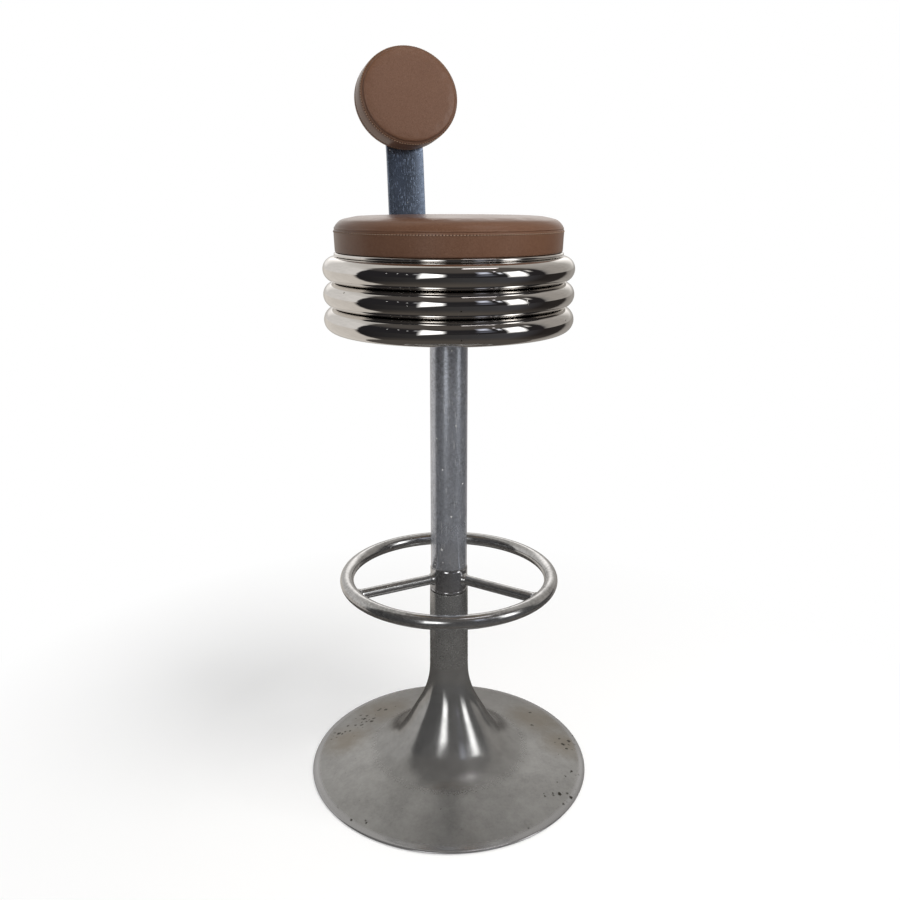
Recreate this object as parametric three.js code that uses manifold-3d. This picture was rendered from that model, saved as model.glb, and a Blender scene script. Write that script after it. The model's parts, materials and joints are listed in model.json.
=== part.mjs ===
// A diner counter stool: a trumpet base, a chromed column with a ring footrest, and a swivelling
// seat of three chromed hoops under a round cushion, with a round back pad on a bent flat bar.
// Millimetres, +Z up. The origin is on the floor under the column, and the backrest is at +Y.
import * as THREE from 'three';
import { mergeVertices } from 'three/addons/utils/BufferGeometryUtils.js';
import Module from 'manifold-3d';

// Clearances and facets
const touchGap = 0.3;
const turnGap = 0.4;
const cutOverrun = 2;
const largeSides = 36;
const mediumSides = 24;
const shaftSides = 16;
const boltSides = 6;

// Base: a spun trumpet shell over a cast ballast, standing on a rubber ring
const baseRadius = 201.6;
const floorRingHeight = 1.5;
const floorRingWidth = 10;
const floorRingInset = 4;
const shellWall = 3;
const rimRollWidth = 11;
const rimRollHeight = 3.4;
const rimRollStart = THREE.MathUtils.degToRad(35);
const rimEdgeHeight = 0.6;
const rimLipWidth = 14;
const rimLipStep = 2.6;
const flareTopHeight = 159.4;
const flareFootHeight = 21.7;
const flareFootInset = 74.1;
const neckFlareRadius = 27.6;
const neckTopRadius = 27;
const neckChamfer = 0.8;
const ballastPastFoot = 5;
const ballastHeight = 28;
const ballastGap = 0.6;
const nutPocketRadius = 22;
const nutPocketDepth = 16;

// Tie rod that pulls base, footrest hub and column together
const rodRadius = 6;
const rodTail = 2;
const nutRadius = 10.9;
const nutHeight = 10;
const washerRadius = 18;
const washerThickness = 2.5;
const plugHeight = 20;
const spigotWall = 2.2;
const spigotReachDown = 38;
const spigotReachUp = 30;

// Column and footrest
const columnRadius = 25.4;
const columnWall = 2.5;
const hubBottomHeight = 278;
const hubHeight = 36;
const hubRadius = 27.1;
const hubBeadRadius = 27.8;
const hubBeadHeight = 5;
const hubChamferHeight = 3;
const footrestRise = 18.8;
const footrestRingRadius = 144.3;
const footrestTubeRadius = 9.5;
const footrestTubeWall = 1.5;
const spokeRadius = 7;
const spokeWall = 1.5;
const spokeVentRadius = 3;
const spokeCount = 3;
const spokeStartAngle = THREE.MathUtils.degToRad(66.5);

// Seat hoops, boards and the pressed pan under the cushion
const hoopCount = 3;
const hoopRingRadius = 147.8;
const hoopTubeRadius = 16;
const hoopWall = 1.5;
const hoopPitch = 32.5;
const hoopBottomHeight = 665.5;
const hoopSlotAngle = THREE.MathUtils.degToRad(36);
const plyThickness = 18;
const panThickness = 1.5;
const panBeadRadius = 2.4;
const panRadius = 148.9;

// Seat swivel
const swivelPlateRadius = 80;
const swivelPlateThickness = 5;
const thrustWasherThickness = 1.4;
const thrustWasherRadius = 24;
const bushFlangeThickness = 2;
const bushFlangeRadius = 22;
const bushWall = 3.5;
const upperBushLength = 28;
const lowerBushLength = 24;
const lowerFlangeRadius = 18;
const housingFlangeThickness = 4;
const housingLength = 84;
const spindleRadius = 10;
const spindleTail = 4;
const circlipThickness = 1.4;
const circlipWidth = 4;
const circlipGrooveDepth = 1.4;
const circlipGapAngle = THREE.MathUtils.degToRad(70);

// Bolts under the seat
const swivelBoltCircle = 130;
const swivelBoltRadius = 4;
const swivelBoltGrip = 15;
const swivelBoltHeadRadius = 7.2;
const swivelBoltHeadHeight = 5.3;
const seatBoltCircle = 200;
const seatBoltRadius = 3;
const seatBoltHeadRadius = 5.8;
const seatBoltHeadHeight = 4;
const teeFlangeRadius = 9;
const teeFlangeThickness = 1.2;
const teeBarrelWall = 1;
const teeBarrelLength = 8;
const boltCount = 4;

// Seat cushion
const cushionRadius = 148.4;
const cushionHeight = 46.4;
const cushionBoardThickness = 12;
const cushionBoardInset = 5;
const coverThickness = 1.5;
const coverTurnUnder = 20;

// Back bar and its bolts
const barWidth = 55;
const barThickness = 6;
const barHoopGap = 0.5;
const barFootLength = 79.3;
const barFootBend = 12;
const barLeanRise = 99.5;
const barLean = THREE.MathUtils.degToRad(5.5);
const barPadBendRise = 115;
const barBendRadius = 60;
const barPastPad = 32;
const barCornerRadius = 10;
const footBoltRadius = 3;
const footBoltHeadRadius = 5.8;
const footBoltHeadHeight = 4;
const footBoltSpacingX = 30;
const footBoltSpacingY = 22;
const footBoltEdge = 14;
const footBoltGrip = 12;

// Back pad
const padRadius = 71.7;
const padThickness = 42.5;
const padTilt = THREE.MathUtils.degToRad(10.8);
const padRise = 73.6;
const padBoardThickness = 12;
const padBoardInset = 4.8;
const padScrewRadius = 2.5;
const padScrewGrip = 9;
const padScrewHeadRadius = 5;
const padScrewHeadHeight = 2.2;
const padScrewSpacingX = 30;
const padScrewSpacingY = 40;

// Heights and radii that follow from the sizes above
const columnBore = columnRadius - columnWall;
const flareFootRadius = baseRadius - flareFootInset;
const footrestHeight = hubBottomHeight + footrestRise;
const rimBottomHeight = floorRingHeight + touchGap;
const neckTopHeight = hubBottomHeight - touchGap;
const hubTopHeight = hubBottomHeight + hubHeight;
const columnBottomHeight = hubTopHeight + touchGap;
const spigotRadius = columnBore - touchGap;
const spigotBottomHeight = hubBottomHeight - spigotReachDown;
const spigotTopHeight = hubTopHeight + spigotReachUp;
const plugBottomHeight = spigotTopHeight + touchGap;
const plugTopHeight = plugBottomHeight + plugHeight;
const ballastBottomHeight = rimBottomHeight + touchGap;
const nutPocketTop = ballastBottomHeight + nutPocketDepth;
const rodHoleRadius = rodRadius + touchGap;
const boardRadius = hoopRingRadius - hoopTubeRadius - turnGap;
const boardBottomHeight = hoopBottomHeight - hoopTubeRadius;
const coreBottomHeight = boardBottomHeight + plyThickness + touchGap;
const hoopTopHeight = hoopBottomHeight + (hoopCount - 1) * hoopPitch + hoopTubeRadius;
const panTopHeight = hoopTopHeight + touchGap + 2 * panBeadRadius;
const topBoardTopHeight = panTopHeight - panThickness - touchGap;
const topBoardBottomHeight = topBoardTopHeight - plyThickness;
const coreTopHeight = topBoardBottomHeight - touchGap;
const cushionBottomHeight = panTopHeight + touchGap;
const cushionBoardBottom = cushionBottomHeight + coverThickness + touchGap;
const cushionBoardTop = cushionBoardBottom + cushionBoardThickness;
const foamBottomHeight = cushionBoardTop + teeFlangeThickness + 2 * touchGap;
const swivelPlateTop = boardBottomHeight - touchGap;
const swivelPlateBottom = swivelPlateTop - swivelPlateThickness;
const thrustTop = swivelPlateBottom - touchGap;
const thrustBottom = thrustTop - thrustWasherThickness;
const upperBushTop = thrustBottom - touchGap;
const housingTopHeight = upperBushTop - bushFlangeThickness - touchGap;
const columnTopHeight = housingTopHeight - housingFlangeThickness - touchGap;
const housingBottomHeight = housingTopHeight - housingLength;
const lowerFlangeTop = housingBottomHeight - touchGap;
const lowerFlangeBottom = lowerFlangeTop - bushFlangeThickness;
const circlipTop = lowerFlangeBottom - touchGap;
const circlipBottom = circlipTop - circlipThickness;
const bushBore = spindleRadius + turnGap;
const bushRadius = bushBore + bushWall;
const housingBore = bushRadius + touchGap;
const barTopOfFoot = boardBottomHeight - touchGap;
const barLeanHeight = hoopBottomHeight + barLeanRise;
const barPadBendHeight = barLeanHeight + barPadBendRise;
const barRadius = hoopRingRadius + hoopTubeRadius + barHoopGap + barThickness / 2;

// Outline tables, as shares of a cushion's radius and height from its bottom edge to its crown
const seatOutlineShares = [
  [0.984, 0], [0.993, 0.03], [0.995, 0.25], [0.998, 0.47], [1, 0.56], [0.993, 0.595], [0.9975, 0.632],
  [0.992, 0.7], [0.981, 0.765], [0.961, 0.83], [0.942, 0.875], [0.919, 0.907], [0.866, 0.942],
  [0.809, 0.963], [0.65, 0.98], [0.35, 0.993],
];
const padOutlineShares = [
  [0.94, 0], [0.985, 0.05], [0.99, 0.14], [0.983, 0.17], [0.99, 0.2], [1, 0.45], [0.998, 0.72],
  [0.988, 0.82], [0.968, 0.866], [0.946, 0.872], [0.938, 0.905], [0.922, 0.95], [0.885, 0.977], [0.6, 0.993],
];

// The flare from the upright neck to the sloping foot, as shares of its widening and of its drop
const flareShares = [
  [0, 0], [0.008, 0.096], [0.032, 0.196], [0.075, 0.299], [0.14, 0.406], [0.245, 0.54], [0.355, 0.673],
  [0.458, 0.777], [0.603, 0.877], [0.792, 0.956], [1, 1],
];

// Solids and booleans
const wasm = await Module();
wasm.setup();

function mergedGeometry(geometry) {
  geometry.deleteAttribute('normal');
  geometry.deleteAttribute('uv');
  const merged = mergeVertices(geometry, 1e-4);
  const kept = [];
  const index = merged.index.array;
  for (let i = 0; i < index.length; i += 3) {
    const [a, b, c] = [index[i], index[i + 1], index[i + 2]];
    if (a !== b && b !== c && c !== a) kept.push(a, b, c);
  }
  merged.setIndex(kept);
  return merged;
}

function toManifold(geometry) {
  const merged = mergedGeometry(geometry);
  return new wasm.Manifold(new wasm.Mesh({
    numProp: 3,
    vertProperties: new Float32Array(merged.attributes.position.array),
    triVerts: new Uint32Array(merged.index.array),
  }));
}

function fromManifold(solid) {
  const mesh = solid.getMesh();
  const geometry = new THREE.BufferGeometry();
  geometry.setAttribute('position', new THREE.BufferAttribute(new Float32Array(mesh.vertProperties), 3));
  geometry.setIndex([...mesh.triVerts]);
  return geometry;
}

function cut(geometry, cutters) {
  let solid = toManifold(geometry);
  for (const cutter of cutters) solid = solid.subtract(toManifold(cutter));
  return fromManifold(solid);
}

function join(geometries) {
  let solid = toManifold(geometries[0]);
  for (const geometry of geometries.slice(1)) solid = solid.add(toManifold(geometry));
  return fromManifold(solid);
}

// A turned solid about +Z. The outline runs from axis to axis or closes on itself, either way round.
function turned(outline, sides) {
  const points = outline.map(([r, z]) => new THREE.Vector2(r, z));
  const open = points[0].x === 0;
  const loop = open ? points : [...points, points[0].clone()];
  let area = 0;
  points.forEach((p, i) => {
    const q = points[(i + 1) % points.length];
    area += p.x * q.y - q.x * p.y;
  });
  if (area < 0) loop.reverse();
  const geometry = new THREE.LatheGeometry(loop, sides);
  geometry.rotateX(Math.PI / 2);
  return geometry;
}

// A round disc or tube between two heights; an inner radius of zero makes it solid
function roundBar(inner, outer, bottom, top, sides) {
  if (inner === 0) return turned([[0, bottom], [outer, bottom], [outer, top], [0, top]], sides);
  return turned([[inner, bottom], [outer, bottom], [outer, top], [inner, top]], sides);
}

function pillar(x, y, radius, bottom, top, sides) {
  const geometry = roundBar(0, radius, bottom, top, sides);
  geometry.translate(x, y, 0);
  return geometry;
}

// Arc points in a radius and height plane, with angle zero pointing outwards
function arc(centreRadius, centreHeight, radius, start, end, steps) {
  const points = [];
  for (let i = 0; i <= steps; i += 1) {
    const angle = start + (end - start) * i / steps;
    points.push([centreRadius + radius * Math.cos(angle), centreHeight + radius * Math.sin(angle)]);
  }
  return points;
}

function ringTube(ringRadius, tubeRadius, height, sides, around) {
  const lastAngle = 2 * Math.PI * (sides - 1) / sides;
  return turned(arc(ringRadius, height, tubeRadius, 0, lastAngle, sides - 1), around);
}

function boltPlaces(circle, start) {
  const places = [];
  for (let i = 0; i < boltCount; i += 1) {
    const angle = start + i * 2 * Math.PI / boltCount;
    places.push([circle / 2 * Math.cos(angle), circle / 2 * Math.sin(angle)]);
  }
  return places;
}

function rectanglePlaces(spacingX, spacingY, centreY) {
  const places = [];
  for (const sideY of [-1, 1]) {
    for (const sideX of [-1, 1]) {
      places.push([sideX * spacingX / 2, centreY + sideY * spacingY / 2]);
    }
  }
  return places;
}

// A hexagon-headed bolt that points up, its head just under the given seat height
function bolt([x, y], seat, top, radius, headRadius, headHeight) {
  const head = roundBar(0, headRadius, seat - touchGap - headHeight, seat - touchGap, 6);
  const shank = roundBar(0, radius, seat - touchGap - headHeight / 2, top, boltSides);
  const geometry = join([head, shank]);
  geometry.translate(x, y, 0);
  return geometry;
}

// Materials
const finishes = {
  brushedAluminium: { color: 0x7d7b77, roughness: 0.42, metalness: 1 },
  castIron: { color: 0x3c3b3a, roughness: 0.8, metalness: 0.6 },
  blackRubber: { color: 0x1d1d1d, roughness: 0.9, metalness: 0 },
  zincSteel: { color: 0x9a9a98, roughness: 0.4, metalness: 1 },
  blackSteel: { color: 0x2b2b2c, roughness: 0.55, metalness: 0.5 },
  wornChrome: { color: 0x8f9092, roughness: 0.22, metalness: 1 },
  mirrorChrome: { color: 0xcbc6bf, roughness: 0.05, metalness: 1 },
  whiteNylon: { color: 0xd9d6cc, roughness: 0.6, metalness: 0 },
  plywood: { color: 0xb08a5b, roughness: 0.75, metalness: 0 },
  foam: { color: 0xd8c27a, roughness: 0.95, metalness: 0 },
  brownVinyl: { color: 0x6d4a3a, roughness: 0.5, metalness: 0 },
};

const stool = new THREE.Group();
const baseGroup = new THREE.Group();
const footrestGroup = new THREE.Group();
const swivelGroup = new THREE.Group();
const seatGroup = new THREE.Group();
const backGroup = new THREE.Group();
stool.add(baseGroup, footrestGroup, swivelGroup, seatGroup, backGroup);

function addPart(group, name, geometry, finish) {
  const mesh = new THREE.Mesh(geometry, new THREE.MeshStandardMaterial(finishes[finish]));
  mesh.name = name;
  group.add(mesh);
}

// Trumpet shell

// The flare's points from the top down, moved in by an offset
function flare(offset) {
  return flareShares.map(([widening, drop]) => [
    neckFlareRadius - offset + (flareFootRadius - neckFlareRadius + offset) * widening,
    flareTopHeight - (flareTopHeight - flareFootHeight + offset) * drop,
  ]);
}

// The rim rolls down from the disc as part of an ellipse
const rimRoll = arc(0, 0, 1, Math.PI / 2 - rimRollStart, 0, 5).map(([across, up]) => [
  baseRadius - rimRollWidth + rimRollWidth * across,
  rimBottomHeight + rimEdgeHeight + rimRollHeight * up,
]);
const lipInnerRadius = baseRadius - rimLipWidth;
const lipInnerHeight = rimBottomHeight + rimLipStep;

addPart(baseGroup, 'base_trumpet', turned([
  [columnBore, neckTopHeight],
  [neckTopRadius - neckChamfer, neckTopHeight],
  [neckTopRadius, neckTopHeight - neckChamfer],
  ...flare(0),
  ...rimRoll,
  [baseRadius - rimEdgeHeight, rimBottomHeight],
  [lipInnerRadius, rimBottomHeight],
  [lipInnerRadius, lipInnerHeight],
  ...plainOutline(flare(shellWall)).reverse(),
  [columnBore, spigotBottomHeight],
], largeSides), 'brushedAluminium');

const floorRingOuter = baseRadius - floorRingInset;
addPart(baseGroup, 'floor_ring',
  roundBar(floorRingOuter - floorRingWidth, floorRingOuter, 0, floorRingHeight, largeSides), 'blackRubber');

// The ballast fills the flare up to its own height, and holds the nut in a pocket underneath
const ballastFlare = flare(shellWall + ballastGap).reverse();
const ballastTop = ballastFlare.filter(([, z]) => z < ballastHeight);
const [ballastLower, ballastUpper] = [ballastTop.at(-1), ballastFlare[ballastTop.length]];
const ballastTopShare = (ballastHeight - ballastLower[1]) / (ballastUpper[1] - ballastLower[1]);
const ballastShoulder = ballastLower[0] + (ballastUpper[0] - ballastLower[0]) * ballastTopShare;
const ballastOuter = flareFootRadius + ballastPastFoot;
const slopeShare = (ballastOuter - flareFootRadius) / (lipInnerRadius - flareFootRadius);
const shellFootHeight = flareFootHeight - shellWall;
const ballastEdgeHeight = shellFootHeight + (lipInnerHeight - shellFootHeight) * slopeShare - ballastGap;
addPart(baseGroup, 'ballast_plate', turned([
  [rodHoleRadius, nutPocketTop],
  [nutPocketRadius, nutPocketTop],
  [nutPocketRadius, ballastBottomHeight],
  [ballastOuter, ballastBottomHeight],
  [ballastOuter, ballastEdgeHeight],
  ...ballastTop,
  [ballastShoulder, ballastHeight],
  [rodHoleRadius, ballastHeight],
], largeSides), 'castIron');

// Tie rod with its washer and nut, the plug it screws into, and the sleeve that lines up the joint
const rodWasherTop = nutPocketTop - touchGap;
const rodNutTop = rodWasherTop - washerThickness - touchGap;
const rodBottomHeight = rodNutTop - nutHeight - rodTail;
addPart(baseGroup, 'tie_rod_washer', roundBar(
  rodHoleRadius, washerRadius, rodWasherTop - washerThickness, rodWasherTop, shaftSides,
), 'zincSteel');
addPart(baseGroup, 'tie_rod_nut', cut(
  roundBar(0, nutRadius, rodNutTop - nutHeight, rodNutTop, 6),
  [roundBar(0, rodHoleRadius, rodNutTop - nutHeight - cutOverrun, rodNutTop + cutOverrun, shaftSides)],
), 'zincSteel');
addPart(baseGroup, 'tie_rod',
  roundBar(0, rodRadius, rodBottomHeight, plugTopHeight, shaftSides), 'zincSteel');
addPart(baseGroup, 'spigot_sleeve', roundBar(
  spigotRadius - spigotWall, spigotRadius, spigotBottomHeight, spigotTopHeight, mediumSides,
), 'zincSteel');
addPart(baseGroup, 'column_plug',
  roundBar(rodHoleRadius, spigotRadius, plugBottomHeight, plugTopHeight, mediumSides), 'zincSteel');
addPart(baseGroup, 'column_tube',
  roundBar(columnBore, columnRadius, columnBottomHeight, columnTopHeight, mediumSides), 'wornChrome');

// Footrest hub, ring and spokes
addPart(footrestGroup, 'footrest_hub', turned([
  [columnBore, hubBottomHeight],
  [hubBeadRadius, hubBottomHeight],
  [hubBeadRadius, hubBottomHeight + hubBeadHeight],
  [hubRadius, hubBottomHeight + hubBeadHeight],
  [hubRadius, hubTopHeight - hubChamferHeight],
  [columnRadius, hubTopHeight],
  [columnBore, hubTopHeight],
], mediumSides), 'wornChrome');

// A round bar that points outwards from the axis at the footrest's height
function radialBar(radius, start, end, angle, sides) {
  const geometry = roundBar(0, radius, start, end, sides);
  geometry.rotateY(Math.PI / 2);
  geometry.rotateZ(angle);
  geometry.translate(0, 0, footrestHeight);
  return geometry;
}

const spokeAngles = [];
for (let i = 0; i < spokeCount; i += 1) spokeAngles.push(spokeStartAngle + i * 2 * Math.PI / spokeCount);
const ringInner = footrestRingRadius - footrestTubeRadius;
const ringBore = footrestTubeRadius - footrestTubeWall;
addPart(footrestGroup, 'footrest_ring', cut(
  ringTube(footrestRingRadius, footrestTubeRadius, footrestHeight, 12, largeSides),
  [
    ringTube(footrestRingRadius, ringBore, footrestHeight, 6, largeSides),
    ...spokeAngles.map((angle) => radialBar(spokeVentRadius, ringInner - cutOverrun, footrestRingRadius,
      angle, boltSides)),
  ],
), 'wornChrome');

spokeAngles.forEach((angle, i) => {
  const hubInner = columnBore + cutOverrun;
  addPart(footrestGroup, `footrest_spoke_${i + 1}`, cut(
    radialBar(spokeRadius, hubInner, footrestRingRadius, angle, 12),
    [
      radialBar(spokeRadius - spokeWall, columnBore, footrestRingRadius + cutOverrun, angle, 12),
      roundBar(0, hubRadius + touchGap, hubBottomHeight, hubTopHeight, mediumSides),
      ringTube(footrestRingRadius, footrestTubeRadius + touchGap, footrestHeight, 12, largeSides),
    ],
  ), 'wornChrome');
});

// Swivel: a flanged housing in the column's top, two bushes, and a spindle kept in by a circlip
addPart(swivelGroup, 'bearing_housing', turned([
  [housingBore, housingBottomHeight],
  [spigotRadius, housingBottomHeight],
  [spigotRadius, housingTopHeight - housingFlangeThickness],
  [columnRadius, housingTopHeight - housingFlangeThickness],
  [columnRadius, housingTopHeight],
  [housingBore, housingTopHeight],
], mediumSides), 'zincSteel');
addPart(swivelGroup, 'upper_bush', turned([
  [bushBore, upperBushTop],
  [bushFlangeRadius, upperBushTop],
  [bushFlangeRadius, upperBushTop - bushFlangeThickness],
  [bushRadius, upperBushTop - bushFlangeThickness],
  [bushRadius, upperBushTop - bushFlangeThickness - upperBushLength],
  [bushBore, upperBushTop - bushFlangeThickness - upperBushLength],
], mediumSides), 'whiteNylon');
addPart(swivelGroup, 'lower_bush', turned([
  [bushBore, lowerFlangeBottom],
  [lowerFlangeRadius, lowerFlangeBottom],
  [lowerFlangeRadius, lowerFlangeTop],
  [bushRadius, lowerFlangeTop],
  [bushRadius, lowerFlangeTop + lowerBushLength],
  [bushBore, lowerFlangeTop + lowerBushLength],
], mediumSides), 'whiteNylon');
addPart(swivelGroup, 'thrust_washer',
  roundBar(bushBore, thrustWasherRadius, thrustBottom, thrustTop, mediumSides), 'whiteNylon');
addPart(swivelGroup, 'swivel_spindle', turned([
  [0, circlipBottom - spindleTail],
  [spindleRadius, circlipBottom - spindleTail],
  [spindleRadius, circlipBottom - touchGap],
  [spindleRadius - circlipGrooveDepth, circlipBottom - touchGap],
  [spindleRadius - circlipGrooveDepth, circlipTop + touchGap],
  [spindleRadius, circlipTop + touchGap],
  [spindleRadius, swivelPlateTop],
  [0, swivelPlateTop],
], shaftSides), 'zincSteel');

const circlipInner = spindleRadius - circlipGrooveDepth + touchGap;
const circlipShape = new THREE.Shape();
const circlipHalf = circlipGapAngle / 2;
circlipShape.absarc(0, 0, circlipInner + circlipWidth, circlipHalf, 2 * Math.PI - circlipHalf, false);
circlipShape.absarc(0, 0, circlipInner, 2 * Math.PI - circlipHalf, circlipHalf, true);
const circlip = new THREE.ExtrudeGeometry(circlipShape, {
  depth: circlipThickness,
  bevelEnabled: false,
  curveSegments: shaftSides / 2,
});
circlip.translate(0, 0, circlipBottom);
addPart(swivelGroup, 'circlip', circlip, 'zincSteel');

const swivelBoltPlaces = boltPlaces(swivelBoltCircle, 0);
const seatBoltPlaces = boltPlaces(seatBoltCircle, Math.PI / 4);
const swivelHoleRadius = swivelBoltRadius + touchGap;
const swivelBoltTop = boardBottomHeight + swivelBoltGrip;
addPart(swivelGroup, 'swivel_plate', cut(
  roundBar(spindleRadius + touchGap, swivelPlateRadius, swivelPlateBottom, swivelPlateTop, mediumSides),
  swivelBoltPlaces.map(([x, y]) => pillar(x, y, swivelHoleRadius, swivelPlateBottom - cutOverrun,
    swivelPlateTop + cutOverrun, boltSides)),
), 'blackSteel');
swivelBoltPlaces.forEach((place, i) => {
  addPart(swivelGroup, `swivel_bolt_${i + 1}`, bolt(place, swivelPlateBottom, swivelBoltTop,
    swivelBoltRadius, swivelBoltHeadRadius, swivelBoltHeadHeight), 'zincSteel');
});

// Seat boards and core, drilled for the bolts that cross them
const footBoltCentre = barRadius - barThickness / 2 - barFootLength + footBoltEdge + footBoltSpacingY / 2;
const footBoltPlaces = rectanglePlaces(footBoltSpacingX, footBoltSpacingY, footBoltCentre);
const footHoleRadius = footBoltRadius + touchGap;
const footBoltTop = boardBottomHeight + footBoltGrip;
const seatHoleRadius = seatBoltRadius + touchGap;

function seatHoles(bottom, top) {
  return seatBoltPlaces.map(([x, y]) => pillar(x, y, seatHoleRadius, bottom - cutOverrun, top + cutOverrun,
    boltSides));
}

addPart(seatGroup, 'bottom_board', cut(
  roundBar(0, boardRadius, boardBottomHeight, boardBottomHeight + plyThickness, mediumSides),
  [
    ...seatHoles(boardBottomHeight, boardBottomHeight + plyThickness),
    ...swivelBoltPlaces.map(([x, y]) => pillar(x, y, swivelHoleRadius, boardBottomHeight - cutOverrun,
      swivelBoltTop + touchGap, boltSides)),
    ...footBoltPlaces.map(([x, y]) => pillar(x, y, footHoleRadius, boardBottomHeight - cutOverrun,
      footBoltTop + touchGap, boltSides)),
  ],
), 'plywood');
addPart(seatGroup, 'core_block', cut(
  roundBar(0, boardRadius, coreBottomHeight, coreTopHeight, mediumSides),
  seatHoles(coreBottomHeight, coreTopHeight),
), 'plywood');
addPart(seatGroup, 'top_board', cut(
  roundBar(0, boardRadius, topBoardBottomHeight, topBoardTopHeight, mediumSides),
  seatHoles(topBoardBottomHeight, topBoardTopHeight),
), 'plywood');

// Hoops: rolled tube with an open seam against the boards
const hoopNames = ['hoop_bottom', 'hoop_middle', 'hoop_top'];
for (let i = 0; i < hoopCount; i += 1) {
  const height = hoopBottomHeight + i * hoopPitch;
  const seam = Math.PI - hoopSlotAngle / 2;
  addPart(seatGroup, hoopNames[i] ?? `hoop_extra_${i}`, turned([
    ...arc(hoopRingRadius, height, hoopTubeRadius, -seam, seam, 10),
    ...arc(hoopRingRadius, height, hoopTubeRadius - hoopWall, seam, -seam, 4),
  ], largeSides), 'mirrorChrome');
}

// Pressed pan with a rolled bead at its rim
const panBeadCentre = panRadius - panBeadRadius;
addPart(seatGroup, 'seat_pan', cut(
  turned([
    [0, panTopHeight - panThickness],
    [panBeadCentre - panBeadRadius, panTopHeight - panThickness],
    ...arc(panBeadCentre, panTopHeight - panBeadRadius, panBeadRadius, -Math.PI * 5 / 6, Math.PI / 2, 5),
    [0, panTopHeight],
  ], largeSides),
  seatHoles(panTopHeight - panThickness, panTopHeight),
), 'mirrorChrome');

// Seat cushion: board, foam and cover
const teeBarrelRadius = seatHoleRadius + teeBarrelWall;
const cushionBoardRadius = cushionRadius - cushionBoardInset;
addPart(seatGroup, 'cushion_board', cut(
  roundBar(0, cushionBoardRadius, cushionBoardBottom, cushionBoardTop, largeSides),
  seatBoltPlaces.map(([x, y]) => pillar(x, y, teeBarrelRadius + touchGap, cushionBoardBottom - cutOverrun,
    cushionBoardTop + cutOverrun, boltSides)),
), 'plywood');
const teeFlangeBottom = cushionBoardTop + touchGap;
seatBoltPlaces.forEach((place, i) => {
  const tee = turned([
    [seatHoleRadius, teeFlangeBottom - teeBarrelLength],
    [teeBarrelRadius, teeFlangeBottom - teeBarrelLength],
    [teeBarrelRadius, teeFlangeBottom],
    [teeFlangeRadius, teeFlangeBottom],
    [teeFlangeRadius, teeFlangeBottom + teeFlangeThickness],
    [seatHoleRadius, teeFlangeBottom + teeFlangeThickness],
  ], boltSides);
  tee.translate(place[0], place[1], 0);
  addPart(seatGroup, `tee_nut_${i + 1}`, tee, 'zincSteel');
  addPart(seatGroup, `seat_bolt_${i + 1}`, bolt(place, boardBottomHeight, cushionBoardTop, seatBoltRadius,
    seatBoltHeadRadius, seatBoltHeadHeight), 'zincSteel');
});

// A padded outline from its bottom edge to its crown, moved in by an offset
function paddedOutline(shares, radius, bottom, height, offset) {
  return [
    ...shares.map(([radiusShare, heightShare]) => [
      (radius - offset) * radiusShare,
      bottom + offset + (height - 2 * offset) * heightShare,
    ]),
    [0, bottom + height - offset],
  ];
}

// The part of an outline above a height, with a flat bottom there
function outlineAbove(outline, bottom) {
  const first = outline.findIndex(([, z]) => z > bottom);
  const [lower, upper] = [outline[first - 1], outline[first]];
  const share = (bottom - lower[1]) / (upper[1] - lower[1]);
  return [[0, bottom], [lower[0] + (upper[0] - lower[0]) * share, bottom], ...outline.slice(first)];
}

// Every second point of an outline and its last, for a cover's hidden face and the foam inside it
function plainOutline(outline) {
  return outline.filter((_, i) => i % 2 === 0 || i === outline.length - 1);
}

const seatOutline = (offset) => paddedOutline(seatOutlineShares, cushionRadius, cushionBottomHeight,
  cushionHeight, offset);
const seatFoamOutline = plainOutline(seatOutline(coverThickness + touchGap));
addPart(seatGroup, 'seat_foam', turned(outlineAbove(seatFoamOutline, foamBottomHeight), largeSides), 'foam');
addPart(seatGroup, 'seat_cover', turned([
  ...seatOutline(0).reverse(),
  [cushionRadius - coverTurnUnder, cushionBottomHeight],
  [cushionRadius - coverTurnUnder, cushionBottomHeight + coverThickness],
  ...plainOutline(seatOutline(coverThickness)),
], largeSides), 'brownVinyl');

// Back bar: a flat strip along corners in the plane of symmetry, each rounded by its own radius
const barMidFoot = barTopOfFoot - barThickness / 2;
const leanRun = (barPadBendHeight - barLeanHeight) * Math.tan(barLean);
const padBend = [barRadius + leanRun, barPadBendHeight];
const barUp = [Math.sin(padTilt), Math.cos(padTilt)];
const barLength = padRise + barPastPad;
const barCorners = [
  { at: [barRadius - barThickness / 2 - barFootLength, barMidFoot], bend: 0 },
  { at: [barRadius, barMidFoot], bend: barFootBend },
  { at: [barRadius, barLeanHeight], bend: barBendRadius },
  { at: padBend, bend: barBendRadius },
  { at: [padBend[0] + barUp[0] * barLength, padBend[1] + barUp[1] * barLength], bend: 0 },
];

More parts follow.
